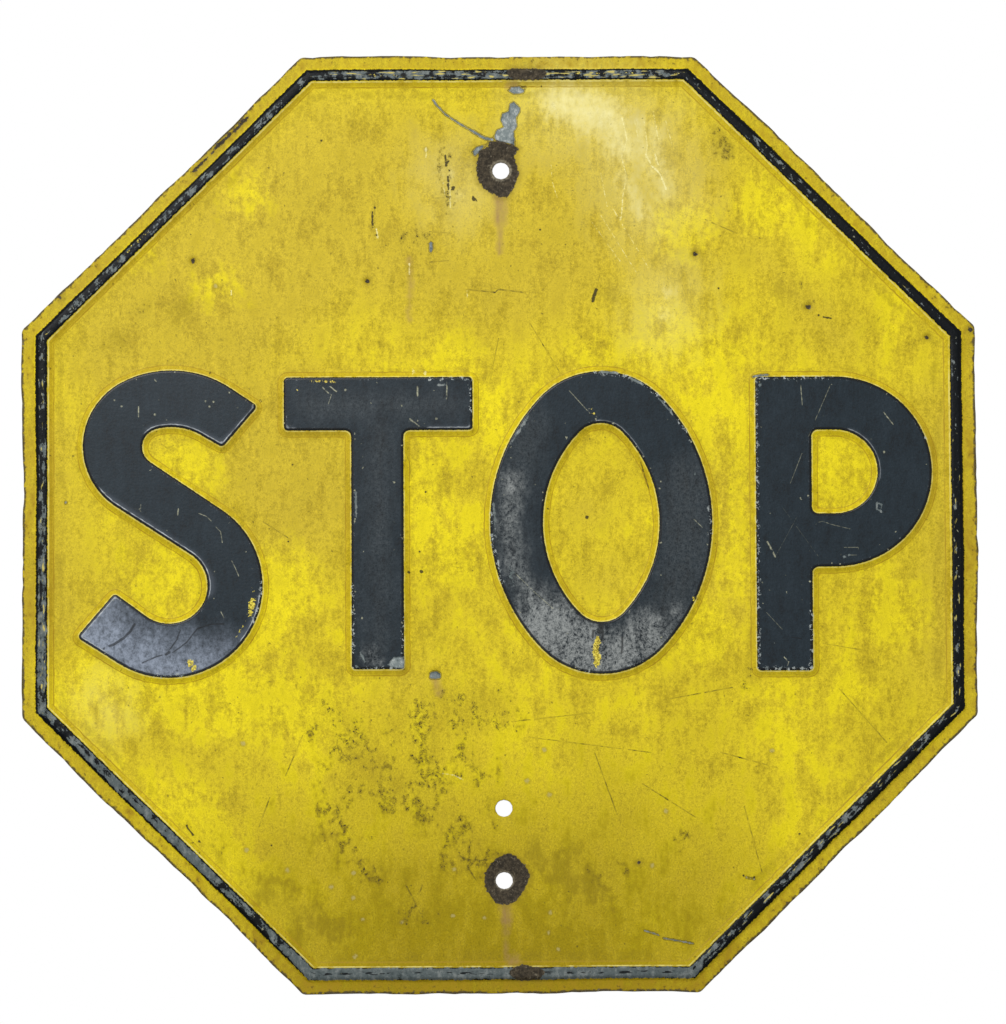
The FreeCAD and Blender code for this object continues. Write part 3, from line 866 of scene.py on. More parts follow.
        *dots(1.1, -192 - 208j, -189 - 211j),
        *dots(0.7, -195 + 209j, -205 + 217j, 141 + 152j, 205 + 134j, 28 + 285j),
        *dots(0.7, -79 + 206j, -78 + 188j, -113 + 250j, 27 + 191j, -47 + 20j, -51 - 19j),
        *dots(1.2, -58 - 32j, -50 - 32j, 56 + 3j),
        *dots(0.9, 31 + 9j, -56 + 21j),
        *dots(0.6, -135 - 12j, -132 + 38j, 190 - 203j, -146 - 209j, -192 - 206j),
        *dots(0.7, -200 - 196j, 154 - 230j, 161 - 231j, 97 + 6j, 96 - 10j),
    ),
    Wear.GLAZE: (
        *dots(5, 106 + 132j, 107 + 124j, 109 + 116j),
        *dots(12, 106 + 124j),
        *dots(9, 249 + 125j, -181 + 155j, 225 - 110j, 168 + 60j, -235 + 180j, -160 + 215j),
        *dots(32, 220 + 36j),
        *dots(20, -200 + 38j, -215 - 38j, -30 - 20j, 130 - 70j, 250 - 60j, -50 + 30j),
        *dots(16, 120 + 190j, 170 + 205j),
        *strokes(22, (-250 - 100j, -120 - 125j), (-200 - 190j, -150 - 250j), (-180 - 90j, -140 - 40j)),
        *strokes(10, (-30 + 112j, 0 + 60j), (152 + 70j, 150 - 40j), (60 + 108j, 150 + 112j)),
    ),
    Wear.FADE: (
        *strokes(62, (-215 + 120j, -110 + 215j, 10 + 185j, 90 + 215j)),
        *strokes(4, (130 + 215j, 215 + 120j)),
        *strokes(46, (-140 + 60j, -128 + 20j)),
        *strokes(14, (-285 + 60j, -285 - 60j)),
        *strokes(16, (285 + 70j, 285 - 90j), (150 + 20j, 150 - 50j)),
        *dots(4, 55 + 10j, 70 - 40j, -60 - 100j),
    ),
    # Painted glare: pale patches laid where a lamp's reflection lies.
    Wear.GLARE: (
        *strokes(11, (42 + 275j, 66 + 266j)),
        *strokes(6, (72 + 268j, 80 + 244j)),
        *strokes(-1, (90 + 262j, 98 + 230j), (100 + 256j, 108 + 214j), (80 + 226j, 92 + 200j)),
        *dots(-2, 108 + 150j, 106 + 134j),
        *dots(-12, -254 - 112j, -248 - 122j),
        *dots(-3, -30 + 228j, -24 + 214j),
    ),
    # Painted shade: the enamel darker towards the bottom.
    Wear.GLOOM: (*strokes(50, (-60 - 320j, 44 - 323j)),),
    # Chalky rubs mixed with painted sheen on the O's bottom and left side.
    Wear.CHALK_AND_SHEEN: (
        *strokes(20, (30 - 70j, 46 - 80j, 56 - 88j)),
        *strokes(11, (74 - 88j, 96 - 74j)),
        *strokes(0, (8 + 26j, 5 - 8j, 12 - 36j, 26 - 58j)),
        *strokes(5, (20 - 50j, 34 - 76j)),
        *dots(0, -82 - 88j, 112 - 60j),
    ),
    Wear.GREY: (
        *strokes(14, (104 - 72j, 118 - 30j, 120 + 26j)),
        *strokes(8, (20 + 60j, 8 + 10j, 10 - 40j, 40 - 76j)),
        *strokes(4, (-77 + 60j, -77 - 80j), (-120 + 76j, -30 + 76j)),
    ),
    # Painted sheen on the S's foot, brightest at its tip.
    Wear.SHEEN: (
        *strokes(17, (-264 - 74j, -254 - 82j)),
        *strokes(9, (-248 - 80j, -226 - 90j, -204 - 96j)),
        *strokes(1, (-200 - 94j, -180 - 90j)),
    ),
    # Painted highlight lines along the crests' edges that face down.
    Wear.GLEAM: (
        *strokes(4, (-256 + 18j, -241 + 9j, -223 - 4j, -196 - 23j, -185 - 37j, -185 - 44j)),
        *strokes(3, (-223 + 60j, -206 + 63j, -190 + 57j, -177 + 50j, -154 + 73j)),
        *strokes(3, (-247 - 50j, -267 - 74j, -254 - 83j), (-152 - 50j, -155 - 62j, -164 - 74j)),
        *strokes(1.2, (64 + 64j, 74 + 62j, 82 + 55j, 90 + 42j)),
        *strokes(1.2, (225 + 58j, 235 + 51j, 241 + 39j, 242 + 28j)),
        *strokes(0.8, (-44 + 61j, -18 + 61j), (-137 + 61j, -132 + 61j)),
    ),
    Wear.FRAY: (
        *strokes(3, (164 + 92j, 165 - 96j, 199 - 97j, 199 - 60j), (168 + 93j, 212 + 93j)),
        *strokes(3.5, (34 + 90j, 20 + 80j, 8 + 64j, 0 + 44j)),
        *strokes(3.5, (62 + 97j, 92 + 92j, 112 + 74j, 124 + 52j)),
        *strokes(3, (-6 + 10j, -5 - 14j, 2 - 40j), (-220 - 99j, -190 - 99j), (-152 - 40j, -158 - 66j)),
        *strokes(2.5, (-95 - 95j, -62 - 95j, -61 - 60j), (-94 - 40j, -94 - 90j)),
        *strokes(2.5, (-45 + 93j, -18 + 93j, -18 + 70j)),
        *strokes(2.5, (-280 + 40j, -278 + 10j), (270 + 60j, 282 + 30j), (50 - 98j, 90 - 92j)),
        *strokes(2.5, (134 + 10j, 135 - 8j)),
    ),
}


@dataclass(frozen=True)
class Hole:
    """A bolt hole through the sheet, and how far its rim is dished towards the back."""

    place: complex
    radius: float
    dish: float
    dish_reach: float
    grown: ClassVar[tuple[float, ...]] = (0.0, 0.35, 0.8, 1.5, 2.6, 4.2, 6.4)
    ring_spokes: ClassVar[int] = 40

    def rings(self) -> Spots:
        """Spots on the hole's edge and on rings round it."""
        around = spokes(self.ring_spokes)
        return np.concatenate([self.place + (self.radius + more) * around for more in self.grown])

    def sink(self, spots: Spots) -> Spots:
        """How far the sheet is pushed back at given spots."""
        beyond = np.abs(spots - self.place) - self.radius
        return self.dish * np.exp(-((np.maximum(beyond, 0) / self.dish_reach) ** 2))


@dataclass(frozen=True)
class Pit:
    """A small dent where shot or a nail has struck the sheet."""

    place: complex
    radius: float
    depth: float
    shares: ClassVar[tuple[float, ...]] = (0.3, 0.6, 0.9, 1.3, 2.0, 3.0)
    ring_spokes: ClassVar[int] = 16
    lip_height: ClassVar[float] = 0.22
    lip_share: ClassVar[float] = 1.5
    lip_steepness: ClassVar[float] = 6.0

    def rings(self) -> Spots:
        """Spots in the pit and on rings round it."""
        grown = [self.place + self.radius * share * spokes(self.ring_spokes) for share in self.shares]
        return np.concatenate([[self.place], *grown])

    def sink(self, spots: Spots) -> Spots:
        """How far the sheet is pushed back at given spots, less than zero on the raised lip.

        Args:
            spots: where to measure.

        Returns:
            The distances in millimetres, larger towards the back.
        """
        share = np.abs(spots - self.place) / self.radius
        lip = self.lip_height * np.exp(-((share - self.lip_share) ** 2) * self.lip_steepness)
        return self.depth * (np.exp(-(share**4)) - lip)


BOLT_HOLES = (
    Hole(2 + 230j, 5.55, 1.1, 6.0),
    Hole(2 - 232j, 5.55, 1.3, 7.0),
    Hole(2 - 185.5j, 5.55, 0.5, 4.0),
)
PITS = (
    Pit(-195.5 + 171.4j, 1.9, 0.9),
    Pit(126.2 + 174.6j, 1.9, 0.9),
    Pit(198.3 + 139.6j, 2.2, 1.0),
    Pit(274.3 + 119.6j, 2.0, 0.9),
    Pit(-84.1 + 157.7j, 1.8, 0.7),
    Pit(-41.5 - 99.5j, 3.4, 1.2),
)


@dataclass(frozen=True)
class Bump:
    """A broad soft dent, or a swelling where its depth is less than zero."""

    place: complex
    reach: float
    depth: float

    def sink(self, spots: Spots) -> Spots:
        """How far the sheet is pushed back at given spots."""
        return self.depth * np.exp(-((np.abs(spots - self.place) / self.reach) ** 2))


BUMPS = (
    Bump(-60 + 235j, 60, 0.5),
    Bump(150 + 200j, 70, -0.5),
    Bump(-230 + 20j, 60, 0.4),
    Bump(-250 - 70j, 26, -0.7),
    Bump(60 - 90j, 45, -0.6),
    Bump(210 - 150j, 80, 0.5),
    Bump(-100 - 220j, 70, -0.4),
    Bump(250 + 70j, 50, 0.4),
    Bump(20 - 260j, 40, 0.6),
    Bump(-180 + 180j, 50, -0.4),
)


@dataclass
class SheetPlan:
    """The net of spots that both faces of the sheet share, and what is known at each."""

    flat_reach: float = 304.8
    corner_radius: float = 6.0
    corner_parts: int = 5
    grid_step: float = 7.0
    grid_to_rib: float = 4.0
    grid_to_letter: float = 3.0
    side_parts: int = 50
    side_bow: float = 0.02
    rim_rings: tuple[float, ...] = (304.8, 304.5, 304.0, 303.0, 301.4, 299.6)
    rib_rings: tuple[float, ...] = (
        *(298.2, 297.4, 296.9, 296.5, 296.1, 295.7, 295.3, 294.8, 294.0, 292.8, 291.4),
        *(290.4, 289.8, 289.3, 288.8, 288.2, 287.4, 286.6, 285.9, 285.2, 284.6, 283.8),
    )
    letter_rings: tuple[float, ...] = (
        *(-5.0, -2.6, -1.5, -0.9, -0.45, 0.0, 0.45, 1.0, 1.8, 2.6, 3.1, 3.6, 4.1, 4.8, 7.0),
    )
    run_step: float = 2.8
    ring_slip: float = 0.05
    ring_to_rib: float = 0.8
    wall_middle: float = 1.0
    wall_clear: float = 6.2
    marks_to_rib: float = 1.0
    hole_clear: float = 7.5
    pit_clear: float = 3.4
    crowding: float = 0.3
    hole_share: float = 0.97
    least_area: float = 1e-4
    lettering: Lettering = field(default_factory=Lettering)
    spots: Spots = field(init=False)
    triangles: list[tuple[int, int, int]] = field(init=False)

    def __post_init__(self) -> None:
        """Lays out the spots and joins them."""
        self.paths = self.lettering.paths()
        found = np.concatenate([self.border(), self.letter_net(), self.grid(), self.fine_nets()])
        self.spots = self.thinned(found)
        self.triangles = self.joined()

    def side_of(self, reach: float) -> Spots:
        """One side of a ring at a distance towards the flats, with its corner.

        Args:
            reach: how far the ring lies towards the flats.

        Returns:
            The spots of the side that faces right.
        """
        inner = self.flat_reach - self.corner_radius
        half = min(reach, inner) * math.tan(HALF_SIDE_TURN)
        share = np.linspace(-1, 1, self.side_parts, endpoint=False)
        bow = self.side_bow * (1 - share**2) if reach == self.flat_reach else 0.0
        straight = reach + bow + 1j * share * half
        if reach <= inner:
            return straight
        steps = np.arange(self.corner_parts) / self.corner_parts * 2 * HALF_SIDE_TURN
        return np.concatenate([straight, inner + 1j * half + (reach - inner) * np.exp(1j * steps)])

    def border(self) -> Spots:
        """The rings of the rim and the rib, all the way round.

        Returns:
            The spots of all rings.
        """
        turns = np.exp(2j * HALF_SIDE_TURN * np.arange(SIDES))
        rings = [self.side_of(reach) for reach in self.rim_rings + self.rib_rings]
        return np.concatenate([side * turn for side in rings for turn in turns])

    def letter_net(self) -> Spots:
        """Rings that run along both sides of the letters' crests.

        Returns:
            Those that lie where the rings of two edges don't cross.
        """
        kept = []
        for path in self.paths:
            walked = [run.walk(self.run_step) for run in path]
            spots = np.concatenate([part[0] for part in walked])
            aside = np.concatenate([part[1] for part in walked])
            for margin in self.letter_rings:
                moved = spots + aside * margin
                true = np.abs(signed_distance(moved, self.paths) - margin) < self.ring_slip
                clear = flat_distance(moved) < self.rib_rings[-1] - self.ring_to_rib
                kept.append(moved[true & clear])
        return np.concatenate(kept)

    def grid(self) -> Spots:
        """An even net over the flats, clear of the rings.

        Returns:
            The spots, in rows that are set off by half a step.
        """
        across = np.arange(-self.flat_reach, self.flat_reach, self.grid_step)
        up = np.arange(-self.flat_reach, self.flat_reach, self.grid_step * math.sqrt(3) / 2)
        x, z = np.meshgrid(across, up)
        x[1::2] += self.grid_step / 2
        spots = (x + 1j * z).ravel()
        spots = spots[flat_distance(spots) < self.rib_rings[-1] - self.grid_to_rib]
        reach = signed_distance(spots, self.paths)
        outside = reach > self.letter_rings[-1] + self.grid_to_letter
        return spots[outside | (reach < self.letter_rings[0] - self.grid_to_letter)]

    def fine_nets(self) -> Spots:
        """Spots for the holes and for the marks that the even net would miss.

        Returns:
            The spots on the open flats.
        """
        nets = [mark.net() for kind in MARKS.values() for mark in kind]
        spots = np.concatenate(nets)
        reach = signed_distance(spots, self.paths)
        open_flat = np.abs(reach - self.wall_middle) > self.wall_clear
        return spots[open_flat & (flat_distance(spots) < self.rib_rings[-1] - self.marks_to_rib)]

    def thinned(self, spots: Spots) -> Spots:
        """Drops spots that crowd another, and lays the holes' rings.

        Args:
            spots: all that were laid, the important ones first.

        Returns:
            Those that are kept, and the holes' rings.
        """
        for hole in BOLT_HOLES:
            spots = spots[np.abs(spots - hole.place) > hole.radius + self.hole_clear]
        for pit in PITS:
            spots = spots[np.abs(spots - pit.place) > pit.radius * self.pit_clear]
        keys = np.round(spots / self.crowding)
        _, first = np.unique(keys, return_index=True)
        rings = [place.rings() for place in BOLT_HOLES + PITS]
        return np.concatenate([spots[np.sort(first)], *rings])

    def joined(self) -> list[tuple[int, int, int]]:
        """Joins the spots into triangles and leaves the holes open.

        Returns:
            The triangles, each anticlockwise as seen from the front.
        """
        flat = [Vector((spot.real, spot.imag)) for spot in self.spots]
        verts, _, faces, *_ = delaunay_2d_cdt(flat, [], [], 0, NUDGE)
        self.spots = np.array([complex(*vert) for vert in verts])
        corners = np.array(faces)
        middles = self.spots[corners].mean(axis=1)
        solid = np.ones(len(corners), bool)
        for hole in BOLT_HOLES:
            solid &= np.abs(middles - hole.place) > hole.radius * self.hole_share
        a, b, c = (self.spots[corners[:, i]] for i in range(3))
        area = ((b - a).conjugate() * (c - a)).imag
        corners[area < 0] = corners[area < 0][:, ::-1]
        return corners[solid & (np.abs(area) > self.least_area)].tolist()


@dataclass(frozen=True)
class Flutter:
    """The slow waves that bending has left in the border and in the whole sheet."""

    out_of_plane: float = 0.55
    rim_counts: tuple[float, ...] = (5, 9, 17, 31)
    rim_phase: float = 2.1
    in_plane: float = 0.75
    edge_counts: tuple[float, ...] = (7, 13, 23, 41, 67)
    edge_phase: float = 1.3
    fades_at: float = 283.0
    full_after: float = 22.0
    nibbled: float = 0.6
    nibbled_from: float = 302.2
    nibbled_over: float = 2.2
    bites: int = 540
    bite_seed: int = 11
    bite_sparseness: float = 2.5
    slow_swing: float = 0.3
    slow_lengths: tuple[float, float] = (84.0, 97.0)
    slow_phases: tuple[float, float] = (0.6, -0.3)
    quick_swing: float = 0.1
    quick_lengths: tuple[float, float, float] = (31.0, 47.0, 36.0)
    quick_phase: float = 1.1
    damping: float = 1.6
    growth_power: float = 1.5

    def waves(self, spots: Spots, counts: tuple[float, ...], phase: float) -> Spots:
        """A sum of waves round the border.

        Args:
            spots: where to measure.
            counts: how many times each wave rises on the way round.
            phase: where they start.

        Returns:
            The sum.
        """
        angle = np.angle(spots)
        parts = [
            np.sin(count * angle + phase * (i + 1)) / (i + self.damping) for i, count in enumerate(counts)
        ]
        return np.sum(parts, axis=0)

    def growth(self, spots: Spots) -> Spots:
        """None inside the rib and full at the edge."""
        share = (flat_distance(spots) - self.fades_at) / self.full_after
        return np.clip(share, 0, 1) ** self.growth_power

    def sideways(self, spots: Spots) -> Spots:
        """How far spots near the edge are moved in the sheet's plane.

        Args:
            spots: where to measure.

        Returns:
            The moves in millimetres.
        """
        out = spots / np.maximum(np.abs(spots), 1)
        bow = self.waves(spots, self.edge_counts, self.edge_phase)
        bow = self.in_plane * self.growth(spots) * bow
        return (bow - self.nibble(spots)) * out

    def nibble(self, spots: Spots) -> Spots:
        """How deep rust and knocks have eaten into the very edge.

        Args:
            spots: where to measure.

        Returns:
            The depths in millimetres.
        """
        depths = np.random.default_rng(self.bite_seed).random(self.bites) ** self.bite_sparseness
        turned = np.mod(np.angle(spots), FULL_TURN) / FULL_TURN * self.bites
        eaten = np.interp(turned, np.arange(self.bites), depths, period=self.bites)
        beyond = (flat_distance(spots) - self.nibbled_from) / self.nibbled_over
        return self.nibbled * eaten * np.clip(beyond, 0, 1)

    def back(self, spots: Spots) -> Spots:
        """How far spots are pushed back.

        Args:
            spots: where to measure.

        Returns:
            The distances in millimetres, larger towards the back.
        """
        rim = self.waves(spots, self.rim_counts, self.rim_phase)
        rim = self.out_of_plane * self.growth(spots) * rim
        x, z = spots.real, spots.imag
        (wide, tall), (first, second) = self.slow_lengths, self.slow_phases
        slow = np.sin(x / wide + first) * np.cos(z / tall + second)
        wide, tall, band = self.quick_lengths
        quick = np.sin(x / wide - z / tall) * np.sin(z / band + self.quick_phase)
        return rim + self.slow_swing * slow + self.quick_swing * quick


# Shader boards.


@dataclass(eq=False)
class Wire:
    """A socket that carries numbers, so that shader maths is written as Python expressions.

    Its value is that of the bare socket times a plain factor, which no node has worked in yet.
    """

    board: "Board"
    bare: bpy.types.NodeSocket
    factor: float = 1.0

    @property
    def socket(self) -> bpy.types.NodeSocket:
        """The socket with the factor worked in.

        Returns:
            A socket that carries the wire's whole value.
        """
        if self.factor != 1.0:
            settings, sockets = {"operation": "MULTIPLY"}, {0: self.bare, 1: self.factor}
            self.bare = self.board.node("ShaderNodeMath", settings, sockets).outputs[0]
            self.factor = 1.0
        return self.bare

    def work(self, operation: str, *values: object) -> "Wire":
        """Adds a Math node and gives its result."""
        made = self.board.node("ShaderNodeMath", {"operation": operation}, dict(enumerate(values)))
        return Wire(self.board, made.outputs[0])

    def __add__(self, other: object) -> "Wire":
        """self + other, in one node also where one of them has a factor.

        Args:
            other: a wire or a number.

        Returns:
            The sum.
        """
        if isinstance(other, Wire) and other.factor != 1.0:
            return self.work("MULTIPLY_ADD", other.bare, other.factor, self)
        if self.factor != 1.0:
            return self.work("MULTIPLY_ADD", self.bare, self.factor, other)
        return self.work("ADD", self, other)

    __radd__ = __add__

    def __sub__(self, other: object) -> "Wire":
        """self - other."""
        return self + -other

    def __rsub__(self, other: object) -> "Wire":
        """other - self."""
        return -self + other

    def __mul__(self, other: object) -> "Wire":
        """self * other.

        Args:
            other: a wire or a number.

        Returns:
            The product, with a number kept as a factor.
        """
        if isinstance(other, Wire):
            return self.work("MULTIPLY", self, other)
        return Wire(self.board, self.bare, self.factor * other)

    __rmul__ = __mul__

    def __neg__(self) -> "Wire":
        """-self."""
        return self * -1.0

    def least(self, other: object) -> "Wire":
        """The smaller of two."""
        return self.work("MINIMUM", self, other)

    def most(self, other: object) -> "Wire":
        """The larger of two."""
        return self.work("MAXIMUM", self, other)

    def size(self) -> "Wire":
        """The value without its sign."""
        return self.work("ABSOLUTE", self)

    def rising(self, low: float, high: float) -> "Wire":
        """Zero at low and one at high, with a soft change between, also where low is the larger.

        Args:
            low: where it starts.
            high: where it ends.

        Returns:
            The result.
        """
        made = self.board.node(
            "ShaderNodeMapRange",
            {"interpolation_type": "SMOOTHSTEP"},
            {"Value": self, "From Min": low, "From Max": high},
        )
        return Wire(self.board, made.outputs["Result"])

    def falling(self, low: float, high: float) -> "Wire":
        """One below low and zero above high, with a soft change between."""
        return self.rising(high, low)


class Board:
    """The node tree of a material or of the world, with short ways to lay its nodes."""

    shift: ClassVar[tuple[float, float]] = (7.31, 3.17)
    spread: ClassVar[float] = 3.2
    mix_below: ClassVar[int] = 6
    mix_above: ClassVar[int] = 7
    mixed: ClassVar[int] = 2

    def __init__(self, owner: bpy.types.Material | bpy.types.World) -> None:
        """Empties the owner's tree.

        Args:
            owner: what the tree belongs to.
        """
        owner.use_nodes = True
        self.owner = owner
        self.tree = owner.node_tree
        self.tree.nodes.clear()

    @cached_property
    def place(self) -> bpy.types.NodeSocket:
        """The spot on the sheet's plane, in millimetres.

        Returns:
            The socket, which is laid when it is first asked for.
        """
        lie = self.node("ShaderNodeTexCoord")
        parts = self.node("ShaderNodeSeparateXYZ", None, {0: lie.outputs["Object"]})
        flat = {"X": parts.outputs["X"], "Y": parts.outputs["Z"]}
        upright = self.node("ShaderNodeCombineXYZ", None, flat)
        return self.vector("SCALE", upright.outputs[0], scale=1 / MM)

    def node(self, kind: str, settings: dict | None = None, sockets: dict | None = None) -> bpy.types.Node:
        """Adds any node.

        Args:
            kind: the node's type.
            settings: its properties, which are set first.
            sockets: what its input sockets get, by name or number: a value, a wire or a socket.

        Returns:
            The node.
        """
        made = self.tree.nodes.new(kind)
        for name, value in (settings or {}).items():
            setattr(made, name, value)
        for name, value in (sockets or {}).items():
            if isinstance(value, Wire):
                value = value.socket
            if isinstance(value, bpy.types.NodeSocket):
                self.tree.links.new(value, made.inputs[name])
            else:
                made.inputs[name].default_value = value
        return made

    def vector(self, operation: str, *values: object, scale: object = None) -> bpy.types.NodeSocket:
        """Adds a Vector Math node and gives its result.

        Args:
            operation: what the node does.
            values: what its vector sockets get.
            scale: what its number socket gets, if it has one.

        Returns:
            The result.
        """
        sockets = dict(enumerate(values))
        if scale is not None:
            sockets["Scale"] = scale
        return self.node("ShaderNodeVectorMath", {"operation": operation}, sockets).outputs[0]

    def reading(self, name: str) -> Wire:
        """A field that the mesh carries."""
        made = self.node("ShaderNodeAttribute", {"attribute_name": name})
        return Wire(self, made.outputs["Fac"])

    def mark(self, kind: Wear) -> Wire:
        """The field of one kind of mark."""
        return self.reading(kind.value)

    def point(self, across: Wire, up: Wire) -> bpy.types.NodeSocket:
        """Two numbers as the place where a noise is read."""
        return self.node("ShaderNodeCombineXYZ", None, {"X": across, "Y": up}).outputs[0]

    def moved(
        self, place: bpy.types.NodeSocket, fitted: tuple[float, float], seed: float
    ) -> bpy.types.NodeSocket:
        """A place scaled to so many blobs a millimetre, across and up, and moved by a seed."""
        scaled = self.vector("MULTIPLY", place, (*fitted, 1.0))
        return self.vector("ADD", scaled, (seed * self.shift[0], seed * self.shift[1], 0.0))

    def grain(
        self,
        size: float,
        seed: float = 0.0,
        detail: float = 3.0,
        stretch: tuple[float, float] = (1.0, 1.0),
        place: bpy.types.NodeSocket | None = None,
    ) -> Wire:
        """Noise between about -1 and 1 on the sheet's plane.

        Args:
            size: how large its blobs are, in millimetres.
            seed: moves it elsewhere.
            detail: how many finer layers it has.
            stretch: how much longer the blobs are across and up.
            place: where it is read, or none for the spot on the sheet.

        Returns:
            The noise.
        """
        fitted = (1 / (size * stretch[0]), 1 / (size * stretch[1]))
        lie = self.moved(place or self.place, fitted, seed)
        made = self.node(
            "ShaderNodeTexNoise",
            {"noise_dimensions": "2D"},
            {"Vector": lie, "Scale": 1.0, "Detail": detail},
        )
        return (Wire(self, made.outputs["Fac"]) - 0.5) * self.spread

    def cells(self, size: float, seed: float = 0.0) -> tuple[Wire, Wire]:
        """Scattered dots: the distance to the nearest one, and a number of its own.

        Args:
            size: how far apart the dots lie, in millimetres.
            seed: moves them elsewhere.

        Returns:
            The distance and the number.
        """
        lie = self.moved(self.place, (1 / size, 1 / size), seed)
        made = self.node(
            "ShaderNodeTexVoronoi", {"voronoi_dimensions": "2D"}, {"Vector": lie, "Scale": 1.0}
        )
        split = self.node("ShaderNodeSeparateColor", None, {0: made.outputs["Color"]})
        return Wire(self, made.outputs["Distance"]) * size, Wire(self, split.outputs[0])

    def mix(self, share: Wire, below: object, above: object) -> bpy.types.NodeSocket:
        """Lays one colour over another.

        Args:
            share: how much of the upper colour covers the lower.
            below: the lower colour.
            above: the upper colour.

        Returns:
            The mixed colour.
        """
        made = self.node(
            "ShaderNodeMix",
            {"data_type": "RGBA", "clamp_factor": True},
            {"Factor": share, self.mix_below: below, self.mix_above: above},
        )
        return made.outputs[self.mixed]

    def finish(self, sockets: dict, height: Wire, depth: float) -> bpy.types.Material:
        """Ends a material's tree in one shader.

        Args:
            sockets: what the shader's sockets get.
            height: the fine relief.
            depth: how deep a height of one is, in metres.

        Returns:
            The material.
        """
        relief = self.node("ShaderNodeBump", None, {"Height": height, "Distance": depth})
        given = dict(sockets, Normal=relief.outputs["Normal"])
        shader = self.node("ShaderNodeBsdfPrincipled", None, given)
        self.node("ShaderNodeOutputMaterial", None, {"Surface": shader.outputs["BSDF"]})
        return self.owner


def screen(red: int, green: int, blue: int) -> Colour:
    """A screen's colour, turned by the usual sRGB curve into the light it stands for."""
    parts = [part / 255 for part in (red, green, blue)]
    return (*[part / 12.92 if part < 0.04 else ((part + 0.055) / 1.055) ** 2.4 for part in parts], 1.0)


@dataclass(frozen=True)
class Coat:
    """What one coat or layer looks like at each spot."""

    colour: bpy.types.NodeSocket
    roughness: Wire


@dataclass(frozen=True)
class Weather:
    """What all coats of one face share: the board, the distances beyond a letter's edge and towards
    the flats, and noises from broad to fine."""

    board: Board
    edge: Wire
    rib: Wire
    clouds: Wire
    patches: Wire
    streaks: Wire
    mottle: Wire
    ragged: Wire
    fine: Wire
    dot: Wire
    dot_number: Wire
    shake: ClassVar[float] = 1.1

    @classmethod
    def over(cls, board: Board, seed: float) -> "Weather":
        """Lays the noises on a board.

        Args:
            board: the material's board.
            seed: moves all noises elsewhere.

        Returns:
            The weather.
        """
        mottle = board.grain(4.0, seed + 4, detail=2.0, stretch=(1.0, 1.4))
        ragged = board.grain(2.3, seed + 5, detail=2.0)
        shaken = board.vector("ADD", board.place, board.point(mottle * cls.shake, ragged * cls.shake))
        dot, dot_number = board.cells(5.0, seed + 9)
        return cls(
            board=board,
            edge=board.reading("letter_edge"),
            rib=board.reading("rib_line"),
            clouds=board.grain(58, seed + 1, detail=2.0),
            patches=board.grain(13, seed + 2, detail=2.5, stretch=(1.0, 1.8)),
            streaks=board.grain(4.2, seed + 3, detail=3.0, stretch=(1.0, 7.0)),
            mottle=mottle,
            ragged=ragged,
            fine=board.grain(0.95, seed + 6, detail=1.5, place=shaken),
            dot=dot,
            dot_number=dot_number,
        )


